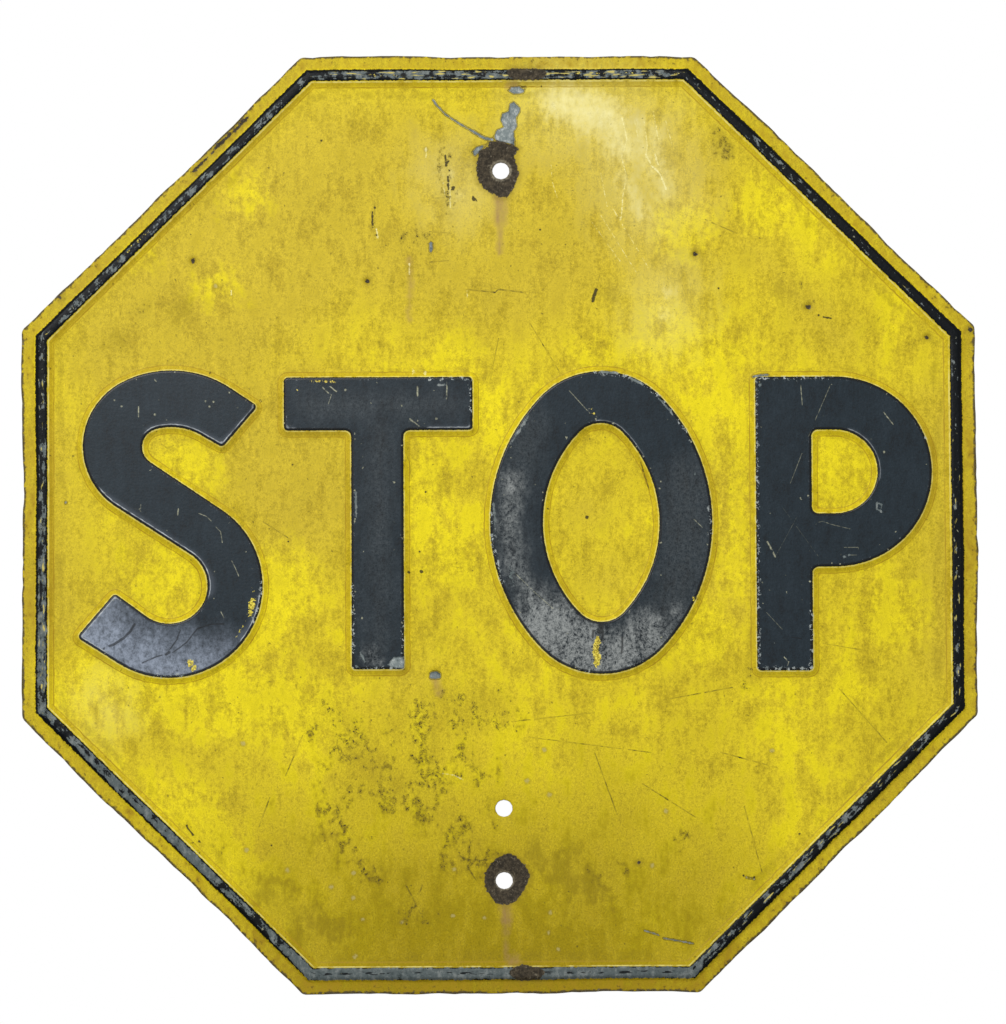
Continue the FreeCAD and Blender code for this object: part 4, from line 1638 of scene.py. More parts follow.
@dataclass(frozen=True)
class YellowEnamel:
    """The yellow coat of the panel, faded, rubbed and washed by rain."""

    plain: Colour = screen(222, 200, 38)
    bright: Colour = screen(242, 223, 28)
    faded: Colour = screen(208, 184, 50)
    olive: Colour = screen(140, 120, 30)
    ochre: Colour = screen(172, 140, 30)
    gloomy: Colour = screen(146, 126, 4)
    pale: Colour = screen(250, 240, 168)
    tarnished: Colour = screen(178, 152, 34)
    cream: Colour = screen(242, 230, 140)
    buff: Colour = screen(192, 180, 118)
    soil: Colour = screen(54, 48, 30)
    pink: Colour = screen(160, 126, 88)
    letter_wall: float = 2.3
    letter_foot: float = 4.1
    by_letter: float = 6.0
    by_rib: float = 281.0
    rib_foot: float = 284.7
    rib_wall: float = 286.7
    outer_wall: float = 296.4
    outer_foot: float = 297.5

    def lay(self, weather: Weather) -> Coat:
        """Builds the coat's colour from broad clouds, streaks, stains and dirt, with painted glare, painted
        shade towards the bottom, and painted shade on the walls and beside the raised forms.

        Args:
            weather: what the coats share.

        Returns:
            The coat.
        """
        board = weather.board
        patches, streaks, mottle = weather.patches, weather.streaks, weather.mottle
        ragged, fine = weather.ragged, weather.fine
        lift = weather.clouds * 0.3 + patches * 0.7 + streaks * 0.12 + mottle * 0.2 + ragged * 0.1
        colour = board.mix(lift.rising(0.0, 0.62), self.plain, self.bright)
        fade = (board.mark(Wear.FADE) + patches * 16 + mottle * 6).rising(-34, 30)
        colour = board.mix(fade * 0.95, colour, self.faded)
        glaze = (board.mark(Wear.GLAZE) + patches * 13 + mottle * 5 + ragged * 2).rising(-12, 10)
        colour = board.mix(glaze * (0.6 + mottle * 0.3), colour, self.bright)
        # Painted shade: a darker yellow that deepens towards the bottom, broken up by noise.
        gloom = board.mark(Wear.GLOOM) + patches * 50 + streaks * 24 + mottle * 36 + ragged * 20
        colour = board.mix(gloom.rising(-150, 30) * 0.9, colour, self.gloomy)
        colour = board.mix((-lift).rising(-0.2, 0.8) * 0.45, colour, self.tarnished)
        grit = lift * 0.12 + streaks * 0.06 + mottle * 0.09 + ragged * 0.12 + fine * 0.25
        colour = board.vector("SCALE", colour, scale=1 + grit)
        # Painted glare: pale cream laid over the enamel at the marked places, and faintly round them.
        glare = (board.mark(Wear.GLARE) + patches * 6 + streaks * 2.5 + mottle * 2).rising(-18, 13)
        wide = (board.mark(Wear.GLARE) + patches * 14 + streaks * 4).rising(-48, 6) * 0.22
        colour = board.mix((glare * (0.8 + mottle * 0.2)).most(wide), colour, self.pale)
        dirt_and_shade = self.dirt_and_shade(weather)
        colour = board.mix(dirt_and_shade, colour, self.olive)
        # Painted shade on the walls and in the folds at their feet, and ochre tone on the rim.
        colour = board.mix(self.walls(weather), colour, self.ochre)
        run = (board.mark(Wear.RUN) + mottle * 1.4 + ragged * 0.6).rising(-2.8, 2.8)
        colour = board.mix(run * (0.55 + streaks * 0.3 + fine * 0.2), colour, self.pink)
        ding = board.mark(Wear.DING) + ragged * 0.6 + fine * 0.4
        colour = board.mix(ding.rising(-1.4, -0.2) * 0.35, colour, self.olive)
        colour = board.mix(ding.rising(-0.5, 0.8) * 0.6, colour, self.buff)
        scraped = (board.mark(Wear.SCRAPE) + ragged * 0.45 + fine * 0.25).rising(-0.3, 0.4)
        colour = board.mix(scraped * (0.8 + mottle * 0.4), colour, self.pale)
        soil = (board.mark(Wear.SOIL) + patches * 8 + mottle * 4).rising(-9, 6)
        colour = board.mix(soil * (0.22 + mottle * 0.3 + ragged * 0.4), colour, self.olive)
        colour = board.mix(self.marks(weather, soil), colour, self.soil)
        return Coat(colour, 0.46 + dirt_and_shade * 0.25 + fine * 0.06 - glare * 0.08)

    def walls(self, weather: Weather) -> Wire:
        """How much ochre is laid on the sloped walls and in the folds at their feet, as painted shade, and
        on the rim as its own tone.

        Args:
            weather: what the coats share.

        Returns:
            The share of painted shade and rim ochre.
        """
        board, edge, rib = weather.board, weather.edge, weather.rib
        patches, mottle = weather.patches, weather.mottle
        # Painted shade: ochre on the letters' walls and a dark line in the fold at their feet.
        side = (edge - self.letter_wall).size().falling(0.9, 1.7) * (0.24 + patches * 0.3)
        foot = (edge - self.letter_foot + mottle * 0.25).size().falling(0.05, 0.6) * (0.75 + patches * 0.5)
        # Painted shade: ochre on the rib's inner wall, strongest on the sides that face away from the lamp,
        # and a dark line in the fold at its foot.
        slope = (rib - self.rib_wall).size().falling(0.9, 2.0) * board.reading("rib_wall_shade")
        fold = (rib - self.rib_foot + mottle * 0.3).size().falling(0.05, 0.8) * (0.7 + patches * 0.5)
        # Ochre tone on the rim beyond the rib.
        rim = (rib - self.outer_wall).rising(0.0, 1.0) * (0.36 + patches * 0.4 + mottle * 0.35)
        return side.most(foot).most(slope * (0.9 + mottle * 0.3)).most(fold).most(rim)

    def dirt_and_shade(self, weather: Weather) -> Wire:
        """Where olive lies on the flat: painted shade beside the letters' and the rib's walls, grime in
        stains and on rubbed spots.

        Args:
            weather: what the coats share.

        Returns:
            The share of grime and painted shade.
        """
        board, edge, rib = weather.board, weather.edge, weather.rib
        patches, mottle = weather.patches, weather.mottle
        # Painted shade: olive bands just beside the letters and inside the rib.
        beside = (edge - self.by_letter + patches * 2.0).size().falling(0.5, 3.0) * (0.1 + patches * 0.4)
        inside = (rib - self.by_rib + patches * 3.0).size().falling(1.0, 5.0) * (0.14 + patches * 0.45)
        stain = (board.mark(Wear.STAIN) * 0.8 + patches * 10 + mottle * 8).rising(-2, 12) * 0.45
        rubbed = patches * 0.9 + weather.streaks * 0.2 + mottle * 0.35 + weather.ragged * 0.3
        rubbed = (rubbed + weather.fine * 0.35).rising(0.0, 1.2) * 0.3
        return beside.most(inside).most(stain).most(rubbed)

    def marks(self, weather: Weather, soil: Wire) -> Wire:
        """Where dark specks, crusts of dirt and scratches lie.

        Args:
            weather: what the coats share.
            soil: how soiled the coat is, from none to one.

        Returns:
            How dark each spot is.
        """
        board, rib = weather.board, weather.rib
        mottle, ragged, fine = weather.mottle, weather.ragged, weather.fine
        dust = (weather.dot - weather.dot_number * 0.3 + ragged * 0.6 + fine * 0.5).falling(-0.15, 0.2)
        dust = dust * weather.dot_number.rising(0.93, 0.98) * 0.5
        clump = (mottle * 0.9 + weather.patches * 0.4 + soil * 1.2 - 0.8).rising(0.0, 0.8)
        wriggle = (ragged * 0.8 + fine * 0.3).size().falling(0.0, 0.13) * 0.6
        crust = clump * wriggle.most((fine * 0.9 + ragged * 0.4).rising(0.1, 0.7))
        rim = (rib - self.outer_foot + ragged * 0.8).rising(0.0, 4.5)
        rim = rim * (mottle * 0.5 + ragged * 0.5 + fine * 0.3).rising(0.25, 0.7) * 0.6
        speck = (board.mark(Wear.SPECK) + ragged * 0.35 + fine * 0.25).rising(-0.35, 0.2) * 0.92
        scratch = (board.mark(Wear.SCRATCH) + ragged * 0.3 + fine * 0.2).rising(-0.3, 0.15)
        scratch = scratch * (0.42 + mottle * 0.5 + weather.patches * 0.35)
        found = dust
        for other in (crust, rim, speck, scratch):
            found = found.most(other)
        return found


@dataclass(frozen=True)
class BlackPaint:
    """The blue-black coat on top of the letters and the rib."""

    plain: Colour = screen(22, 35, 43)
    pale: Colour = screen(38, 51, 60)
    deep: Colour = screen(6, 8, 10)
    chalk_and_sheen: Colour = screen(150, 154, 152)
    sheen: Colour = screen(146, 156, 172)
    gleam: Colour = screen(186, 192, 196)
    nick: Colour = screen(178, 178, 150)
    thin_line: float = -1.45
    shine_line: float = -1.0
    nicked_from: float = -7.0

    def lay(self, weather: Weather) -> Coat:
        """Builds the coat's colour from wiped bands, clouds and chalky rubs, with painted sheen, painted
        highlight lines along the crests' edges and a painted shade line where they turn away.

        Args:
            weather: what the coats share.

        Returns:
            The coat.
        """
        board, edge = weather.board, weather.edge
        patches, streaks, mottle = weather.patches, weather.streaks, weather.mottle
        ragged, fine = weather.ragged, weather.fine
        lift = patches * 0.4 + streaks * 0.3 + mottle * 0.35 + ragged * 0.2 + fine * 0.6
        colour = board.mix(lift.rising(-0.2, 1.1) * 0.7, self.plain, self.pale)
        colour = board.mix((-lift).rising(0.0, 0.9) * 0.6, colour, self.deep)
        # Painted sheen: a smooth bluish reflection laid into the black at the marked places.
        sheen = (board.mark(Wear.SHEEN) + patches * 6 + mottle * 2).rising(-32, 18)
        colour = board.mix(sheen * (0.85 + fine * 0.3 + mottle * 0.25 + ragged * 0.35), colour, self.sheen)
        greyed = (board.mark(Wear.GREY) + patches * 6 + mottle * 2).rising(-14, 12)
        colour = board.mix(greyed * (0.07 + ragged * 0.05 + fine * 0.06), colour, self.chalk_and_sheen)
        # Chalky rubs and painted sheen: speckled pale grey over the black at the marked places.
        chalk_and_sheen = (board.mark(Wear.CHALK_AND_SHEEN) + patches * 4 + mottle * 3).rising(-12, 10)
        smoke = 0.52 + patches * 0.3 + streaks * 0.24 + mottle * 0.28 + ragged * 0.44 + fine * 0.52
        colour = board.mix(chalk_and_sheen * smoke, colour, self.chalk_and_sheen)
        # Painted highlight: a soft sheen just inside the crests' edges at the marked places.
        shine = board.mark(Wear.GLEAM).rising(-2.5, 2.0)
        soft = shine * (edge - self.shine_line).rising(-6.5, 0.0) * 0.14
        colour = board.mix(soft, colour, self.sheen)
        # Painted shade: a deep line where the crest's rounded edge turns away.
        crest_shade = (edge + ragged * 0.25).rising(-1.7, -0.9) * 0.92
        colour = board.mix(crest_shade, colour, self.deep)
        # Painted highlight: a thin pale line along the crests' bend, strongest at the marked places, dotted
        # elsewhere.
        thin = (edge - self.thin_line + ragged * 0.15).size().falling(0.1, 0.48)
        glint = thin * (shine * (1.0 + mottle * 0.9) + (fine * 0.7 + mottle * 0.5).rising(0.45, 0.9) * 0.5)
        colour = board.mix(glint * 0.7, colour, self.gleam)
        rubbed = (board.mark(Wear.SCRATCH) + ragged * 0.3 + fine * 0.2).rising(-0.35, 0.15)
        colour = board.mix(rubbed * 0.75, colour, self.deep)
        colour = board.mix(self.nicks(weather), colour, self.nick)
        return Coat(colour, 0.36 + chalk_and_sheen * 0.14 + fine * 0.05)

    def nicks(self, weather: Weather) -> Wire:
        """Where small pale nicks and hair scratches lie.

        Args:
            weather: what the coats share.

        Returns:
            How pale each spot is.
        """
        board, edge = weather.board, weather.edge
        ragged, fine = weather.ragged, weather.fine
        score = board.mark(Wear.SCORE)
        line = (score + fine * 0.15).rising(-0.28, 0.12) * (score.rising(-0.1, 0.25) * 0.55 + 0.3)
        line = line * (0.75 + ragged * 0.8)
        close = (edge - self.nicked_from).rising(-7.0, 6.0) * 0.22
        nicks = (weather.dot - weather.dot_number * 0.2 + ragged * 0.7 + fine * 0.6).falling(-0.1, 0.25)
        nicks = nicks * (weather.dot_number + close + weather.patches * 0.2).rising(1.02, 1.14)
        return line.most(nicks * 0.7)


@dataclass(frozen=True)
class Primer:
    """The blue-grey ground coat that shows where paint has chipped off."""

    plain: Colour = screen(126, 136, 136)
    pale: Colour = screen(192, 198, 194)
    dark: Colour = screen(58, 68, 68)

    def lay(self, weather: Weather) -> Coat:
        """Builds the coat's colour from small blotches.

        Args:
            weather: what the coats share.

        Returns:
            The coat.
        """
        board = weather.board
        lift = weather.mottle * 0.8 + weather.ragged * 0.4 + weather.fine * 0.45 + weather.patches * 0.3
        colour = board.mix(lift.rising(-0.1, 0.9) * 0.85, self.plain, self.pale)
        colour = board.mix((-lift).rising(0.2, 1.0) * 0.7, colour, self.dark)
        return Coat(colour, 0.6 + weather.fine * 0.08)


@dataclass(frozen=True)
class Rust:
    """Brown rust, dark and flaky."""

    dark: Colour = screen(52, 47, 39)
    brown: Colour = screen(86, 77, 62)
    grey: Colour = screen(146, 138, 118)

    def lay(self, weather: Weather) -> bpy.types.NodeSocket:
        """Builds the rust from flakes of three tones.

        Args:
            weather: what the coats share.

        Returns:
            The colour.
        """
        board = weather.board
        flakes = weather.ragged * 0.6 + weather.fine * 0.6 + weather.mottle * 0.4
        colour = board.mix(flakes.rising(-0.6, 0.9), self.dark, self.brown)
        bright = (weather.fine * 0.6 + weather.ragged * 0.7 - weather.mottle * 0.5).rising(0.4, 1.1)
        return board.mix(bright * 0.5, colour, self.grey)


@dataclass(frozen=True)
class Bead:
    """What the rib shows at each spot: black paint, deeper black at its edges (darker paint and painted
    shade), ground coat and yellow flecks.
    """

    black: Wire
    dark: Wire
    bare: Wire
    flecked: Wire


@dataclass(frozen=True)
class FrontFinish:
    """All coats of the front, one over the other, each worn through in places."""

    enamel: YellowEnamel = YellowEnamel()
    black: BlackPaint = BlackPaint()
    primer: Primer = Primer()
    rust: Rust = Rust()
    paint_edge: float = 0.35
    pale_line_at: float = 0.75
    crest: float = -0.8
    bead_inner: float = 288.7
    bead_middle: float = 292.4
    bead_outer: float = 296.2
    rim_from: float = 303.3
    fleck: Colour = screen(214, 198, 104)
    depth: float = 0.00016

    def bead(self, weather: Weather) -> Bead:
        """Wears the rib's paint down, most of all along its middle.

        Args:
            weather: what the coats share.

        Returns:
            What the rib shows.
        """
        board, rib = weather.board, weather.rib
        mottle, ragged, fine = weather.mottle, weather.ragged, weather.fine
        along = board.point(board.reading("rib_run"), rib)
        brushed = board.grain(2.1, 46.0, detail=2.0, stretch=(4.0, 1.0), place=along)
        flaked = board.grain(1.15, 47.0, detail=1.5, stretch=(7.0, 1.0), place=along)
        tooth = ragged * 0.32 + fine * 0.25 + mottle * 0.15
        inner = (rib - self.bead_inner + tooth).rising(-0.15, 0.2)
        black = inner * (rib - self.bead_outer + tooth).falling(-0.2, 0.2)
        lost = board.reading("bead_loss")
        core = (rib - self.bead_inner).rising(0.5, 1.3)
        core = core * (rib - self.bead_outer - lost * 2.2 + 2.9 + ragged * 0.4).falling(0.0, 0.8)
        loss = lost + brushed * 0.3 + mottle * 0.26 + weather.patches * 0.2 + fine * 0.14 + core * 0.46
        flecks = board.reading("bead_fleck") + flaked * 0.3 + brushed * 0.46 + core * 0.25
        middle = (rib - self.bead_middle + mottle * 0.4).size().falling(0.5, 1.4)
        dashes = (flaked * -0.4 - brushed * 0.8).rising(0.16, 0.26) * middle * lost.rising(0.76, 0.9)
        return Bead(
            black=black,
            # Deeper black off the worn middle: partly darker paint, partly painted shade on the rib's
            # edges.
            dark=(1 - core) * black * 0.7,
            bare=loss.rising(0.86, 1.02) * black * (1 - dashes * 0.95),
            flecked=flecks.rising(0.95, 1.15) * black * 0.85,
        )

    def frays(self, weather: Weather) -> Wire:
        """Where the letters' crests are rubbed down to the ground coat.

        Args:
            weather: what the coats share.

        Returns:
            How bare each spot is.
        """
        board = weather.board
        crest = (weather.edge - self.crest).size().falling(0.6, 2.6)
        frayed = board.mark(Wear.FRAY).least(2.0) * 0.4
        rubbed = weather.ragged * 0.7 + weather.fine * 0.6 + weather.mottle * 0.3 + frayed - 1.0
        return rubbed.rising(0.0, 0.16) * crest

    def worn_line_and_highlight(self, weather: Weather) -> Wire:
        """The pale line just outside the black paint: partly wear, partly a painted highlight along the
        crest's bend.

        Args:
            weather: what the coats share.

        Returns:
            How pale each spot is.
        """
        grit = weather.fine * 0.1
        letter = (weather.edge - self.pale_line_at + grit).size().falling(0.15, 0.5)
        rib = (weather.rib - self.bead_inner + self.pale_line_at + grit).size().falling(0.2, 0.6)
        broken = (weather.clouds * 0.3 + weather.mottle * 0.5 + 0.55).rising(0.0, 1.0)
        return letter.most(rib) * broken

    def rusted(self, weather: Weather) -> Wire:
        """Where rust has come up: at the marked places and along the very rim.

        Args:
            weather: what the coats share.

        Returns:
            How rusty each spot is.
        """
        clouds, mottle, ragged = weather.clouds, weather.mottle, weather.ragged
        board, rib = weather.board, weather.rib
        rim = (rib - self.rim_from + ragged * 0.6 + clouds * 0.5 + mottle * 0.4).rising(-0.3, 0.9)
        rim = rim * (clouds * 0.4 + mottle * 0.6 + ragged * 0.4 + 0.6).rising(0.0, 0.6)
        marked = (board.mark(Wear.RUST) + ragged * 0.7 + weather.fine * 0.35).rising(-0.3, 0.3)
        return marked.most(rim * 0.9)

    def relief(self, weather: Weather) -> Wire:
        """The fine relief: the paint's skin and edge, chips and scaly rust.

        Args:
            weather: what the coats share.

        Returns:
            The heights.
        """
        board = weather.board
        skin = board.grain(1.9, 44.0, detail=1.0)
        step = (weather.edge - self.paint_edge).falling(-0.15, 0.2)
        chipped = board.mark(Wear.CHIP).rising(-0.1, 0.25)
        scaled = board.mark(Wear.RUST).rising(-0.3, 0.4)
        return skin * 0.14 + step * 0.3 - chipped * 0.5 + scaled * (skin - 0.3)

    def dress(self) -> bpy.types.Material:
        """Builds the material.

        Returns:
            The material.
        """
        board = Board(bpy.data.materials.new("sign_front"))
        weather = Weather.over(board, 0.0)
        enamel = self.enamel.lay(weather)
        black = self.black.lay(weather)
        primer = self.primer.lay(weather)
        rust = self.rust.lay(weather)
        mottle, ragged, fine = weather.mottle, weather.ragged, weather.fine
        on_letter = (weather.edge - self.paint_edge + ragged * 0.12 + fine * 0.14).falling(-0.15, 0.2)
        bead = self.bead(weather)
        painted = on_letter.most(bead.black)
        scuff = board.mark(Wear.SCUFF).least(1.5) * 0.7 + ragged * 0.7 + fine * 0.55 + mottle * 0.3
        scuff = scuff.rising(0.5, 0.95)
        smeared = board.mark(Wear.SCUFF).rising(-1.5, 0.6)
        chip_edge = board.mark(Wear.CHIP) + ragged * 0.35 + fine * 0.2
        chip = chip_edge.rising(-0.1, 0.2)
        lip = (chip_edge + 0.38).size().falling(0.05, 0.4)
        bare = chip.most(self.frays(weather) * 0.9).most(bead.bare)
        rusty = self.rusted(weather)
        halo = (board.mark(Wear.RUST) + mottle * 1.4 + ragged).rising(-4.2, 0.6) * 0.5
        yellow = board.mix(smeared * (0.15 + fine * 0.6), enamel.colour, self.enamel.cream)
        yellow = board.mix(halo.most(smeared * (0.4 - fine * 0.9)), yellow, self.enamel.olive)
        yellow = board.mix(lip * 0.7, yellow, self.enamel.soil)
        # Cream line of wear and painted highlight just outside the black paint.
        yellow = board.mix(self.worn_line_and_highlight(weather) * 0.8, yellow, self.enamel.cream)
        coat = board.mix(bead.dark, black.colour, self.black.deep)
        colour = board.mix(painted * (1 - scuff), yellow, coat)
        shaded = chip * board.mark(Wear.CHIP).falling(0.3, 0.9) * 0.55
        ground = board.mix(shaded.most(bead.black * 0.62), primer.colour, self.primer.dark)
        colour = board.mix(bare, colour, ground)
        colour = board.mix(bead.flecked, colour, self.fleck)
        ring = (board.mark(Wear.RING) + fine * 0.4).rising(-0.3, 0.9) * (0.6 + ragged * 0.5)
        crusted = board.mix(ring, rust, self.rust.grey)
        colour = board.mix(rusty, colour, crusted)
        roughness = enamel.roughness + painted * (black.roughness - enamel.roughness)
        roughness = roughness + bare * 0.12 + rusty * 0.2
        sockets = {
            "Base Color": colour,
            "Roughness": roughness,
            "Coat Weight": on_letter * (1 - bare) * (1 - rusty) * 0.2,
            "Coat Roughness": 0.2,
            "Specular IOR Level": 0.08,
        }
        return board.finish(sockets, self.relief(weather), self.depth)


@dataclass(frozen=True)
class BackFinish:
    """The back and the sheared edge: ground coat gone thin, with rust."""

    primer: Primer = Primer(screen(98, 104, 102), screen(124, 129, 124), screen(72, 78, 76))
    rust: Rust = Rust(screen(66, 50, 41), screen(106, 78, 56), screen(132, 112, 90))
    letter_wall: float = 2.0
    rim_from: float = 297.0
    depth: float = 0.0002

    def dress(self) -> bpy.types.Material:
        """Builds the material.

        Returns:
            The material.
        """
        board = Board(bpy.data.materials.new("sign_back"))
        weather = Weather.over(board, 50.0)
        primer = self.primer.lay(weather)
        rust = self.rust.lay(weather)
        runs = board.grain(5, 53.0, detail=3.0, stretch=(1.0, 7.0))
        walls = (weather.edge - self.letter_wall).size().falling(1.0, 4.0) * 0.35
        rim = (weather.rib - self.rim_from).rising(0.0, 7.0) * 0.6
        amount = weather.clouds * 0.5 + weather.patches * 0.5 + weather.mottle * 0.3
        amount = amount + runs * 0.3 + walls + rim
        rusty = (amount - 0.3 + weather.ragged * 0.2 + weather.fine * 0.15).rising(0.0, 0.6)
        bolted = (board.mark(Wear.RUST) + weather.mottle * 2).rising(-3, 1.5)
        rusty = rusty.most(bolted * 0.9)
        stained = (amount + 0.1).rising(0.0, 0.8) * 0.35
        colour = board.mix(stained, primer.colour, self.rust.brown)
        colour = board.mix(rusty, colour, rust)
        roughness = primer.roughness + rusty * 0.15
        sockets = {"Base Color": colour, "Roughness": roughness, "Specular IOR Level": 0.3}
        pitted = board.grain(3.0, 54.0, detail=1.0)
        return board.finish(sockets, pitted * 0.5 + runs * 0.3, self.depth)


@dataclass(frozen=True)
class BeadWear:
    """How worn the rib is in one direction from the sheet's middle, and how much painted shade lies on its
    inner wall.
    """

    direction: float
    loss: float
    fleck: float
    shade_on_wall: float


BEAD_WEAR = (
    BeadWear(-22.5, 0.30, 0.42, 0.16),
    BeadWear(-8.0, 0.24, 0.50, 0.14),
    BeadWear(8.0, 0.20, 0.36, 0.14),
    BeadWear(22.5, 0.16, 0.16, 0.16),
    BeadWear(40.0, 0.16, 0.14, 0.20),
    BeadWear(47.0, 0.36, 0.14, 0.20),
    BeadWear(53.0, 0.34, 0.14, 0.20),
    BeadWear(65.0, 0.14, 0.22, 0.26),
    BeadWear(70.0, 0.50, 0.62, 0.34),
    BeadWear(90.0, 0.55, 0.55, 0.40),
    BeadWear(108.0, 0.50, 0.48, 0.42),
    BeadWear(114.0, 0.30, 0.22, 0.42),
    BeadWear(135.0, 0.40, 0.10, 0.44),
    BeadWear(155.0, 0.36, 0.16, 0.46),
    BeadWear(160.0, 0.28, 0.38, 0.52),
    BeadWear(180.0, 0.46, 0.42, 0.56),
    BeadWear(200.0, 0.62, 0.56, 0.52),
    BeadWear(206.0, 0.42, 0.30, 0.34),
    BeadWear(214.0, 0.66, 0.12, 0.32),
    BeadWear(230.0, 0.74, 0.02, 0.28),
    BeadWear(238.0, 0.36, 0.20, 0.26),
    BeadWear(250.0, 1.02, -0.10, 0.20),
    BeadWear(262.0, 0.96, -0.10, 0.16),
    BeadWear(270.0, 0.90, -0.05, 0.16),
    BeadWear(280.0, 1.00, -0.10, 0.16),
    BeadWear(291.0, 0.90, 0.10, 0.16),
    BeadWear(296.0, 0.40, 0.44, 0.18),
    BeadWear(315.0, 0.44, 0.46, 0.18),
    BeadWear(337.5, 0.30, 0.42, 0.16),
)


@dataclass
class SignFace:
    """The pressed sheet with its paint: the whole sign."""

    thickness: float = 1.5
    edge_round: float = 0.4
    edge_swell: float = 0.12
    farthest_edge: float = 25.0
    plan: SheetPlan = field(default_factory=SheetPlan)
    rib: Rib = field(default_factory=Rib)
    flutter: Flutter = field(default_factory=Flutter)
    front: FrontFinish = field(default_factory=FrontFinish)
    back: BackFinish = field(default_factory=BackFinish)

    def origin(self) -> complex:
        """Where the sheet's middle lies in the shared frame, in millimetres."""
        low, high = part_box(NODE)
        return complex(low[0] + high[0], low[2] + high[2]) / 2 / MM

    def fields(self) -> dict[str, Spots]:
        """What the mesh carries for the paint and for the painted light and shade, by name.

        Returns:
            The values at each spot of the plan.
        """
        spots = self.plan.spots
        first = BEAD_WEAR[0].direction
        turned = np.mod(np.degrees(np.angle(spots)) - first, 360) + first
        edge = signed_distance(spots, self.plan.paths)
        carried = {
            "letter_edge": np.clip(edge, -self.farthest_edge, self.farthest_edge),
            "rib_line": flat_distance(spots),
            "rib_run": self.rib_run(),
            "bead_loss": self.bead_wear(turned, "loss"),
            "bead_fleck": self.bead_wear(turned, "fleck"),
            "rib_wall_shade": self.bead_wear(turned, "shade_on_wall"),
        }
        for kind, marks in MARKS.items():
            strongest = np.max([mark.strength(spots) for mark in marks], axis=0)
            carried[kind.value] = np.maximum(strongest, FAINTEST)
        return carried

    def bead_wear(self, turned: Spots, what: str) -> Spots:
        """One kind of wear of the rib in each direction, in degrees."""
        directions = [row.direction for row in BEAD_WEAR]
        return np.interp(turned, directions, [getattr(row, what) for row in BEAD_WEAR])

    def rib_run(self) -> Spots:
        """How far round the border each spot lies, in millimetres along the rib.

        Returns:
            The distances, which start again beside the left flat's middle.
        """
        spots = self.plan.spots
        turn = 2 * HALF_SIDE_TURN
        sides = np.round(np.angle(spots) / turn)
        along = spots * np.exp(-1j * turn * sides)
        half = self.rib.inner_top * math.tan(HALF_SIDE_TURN)
        share = along.imag / np.maximum(along.real, 1) / math.tan(HALF_SIDE_TURN)
        return (2 * sides + share) * half

    def depths(self, behind: bool) -> Spots:
        """How far each spot of one face lies from the plane of the back.

        Args:
            behind: whether the back face is meant.

        Returns:
            The depths in millimetres, larger towards the back.
        """
        spots = self.plan.spots
        edge = signed_distance(spots, self.plan.paths)
        flat = flat_distance(spots)
        letters = self.plan.lettering.wall.rise(edge, behind)
        rise = np.maximum(letters, self.rib.rise(flat, behind))
        sunk = self.flutter.back(spots)
        for dent in BUMPS + BOLT_HOLES + PITS:
            sunk = sunk + dent.sink(spots)
        to_edge = self.plan.flat_reach - flat
        for hole in BOLT_HOLES:
            to_edge = np.minimum(to_edge, np.abs(spots - hole.place) - hole.radius)
        inward = np.clip(1 - to_edge / (2 * self.edge_round), 0, 1)
        rounded = self.edge_round * inward**2
        if behind:
            return sunk - rise - rounded
        return sunk - rise - self.thickness + rounded

    def rim_edges(self) -> list[tuple[int, int]]:
        """The edges that only one triangle has, round the sheet and the holes.

        Returns:
            The edges, each with the metal on its left.
        """
        edges = [pair for a, b, c in self.plan.triangles for pair in ((a, b), (b, c), (c, a))]
        known = set(edges)
        return [(a, b) for a, b in edges if (b, a) not in known]

    def build(self) -> bpy.types.Object:
        """Builds the sheet's mesh with its fields and finishes.

        Returns:
            The piece.
        """
        plan = self.plan
        count = len(plan.spots)
        middle = self.origin()
        moved = plan.spots + self.flutter.sideways(plan.spots) + middle
        front, behind = self.depths(False), self.depths(True)
        rim = self.rim_edges()
        ring = {spot: count * 2 + i for i, spot in enumerate(sorted({a for a, _ in rim}))}
        outward = self.outward(rim)
        between = np.array(list(ring))
        swollen = moved[between] + outward[between] * self.edge_swell
        across = np.concatenate([moved, moved, swollen])
        deep = np.concatenate([front, behind, (front[between] + behind[between]) / 2])
        points = np.stack([across.real, deep, across.imag], axis=1) * MM
        faces = [tuple(corners) for corners in plan.triangles]
        faces += [tuple(spot + count for spot in reversed(corners)) for corners in plan.triangles]
        sheet_faces = len(plan.triangles)
        for a, b in rim:
            faces.append((b, a, ring[a], ring[b]))
            faces.append((ring[b], ring[a], a + count, b + count))
        mesh = bpy.data.meshes.new("pressed_sheet")
        mesh.from_pydata(points.tolist(), [], faces)
        mesh.materials.append(self.front.dress())
        mesh.materials.append(self.back.dress())
        slots = np.ones(len(faces), dtype=np.int32)
        slots[:sheet_faces] = 0
        mesh.polygons.foreach_set("material_index", slots)
        mesh.polygons.foreach_set("use_smooth", np.ones(len(faces), dtype=bool))
        for name, values in self.fields().items():
            layer = mesh.attributes.new(name, "FLOAT", "POINT")
            everywhere = np.concatenate([values, values, values[between]])
            layer.data.foreach_set("value", everywhere.astype(np.float32))
        mesh.validate()
        piece = bpy.data.objects.new("sign_sheet", mesh)
        bpy.context.scene.collection.objects.link(piece)
        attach(piece, BODY)
        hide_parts(NODE)
        return piece

    def outward(self, rim: list[tuple[int, int]]) -> Spots:
        """The direction out of the metal at each spot of the rim.

        Args:
            rim: the edges of the sheet and of its holes.

        Returns:
            One unit vector for each spot of the plan, or none inside the sheet.
        """
        out = np.zeros(len(self.plan.spots), complex)
        for a, b in rim:
            run = self.plan.spots[b] - self.plan.spots[a]
            out[[a, b]] += -1j * run / abs(run)
        return out / np.maximum(np.abs(out), NUDGE)


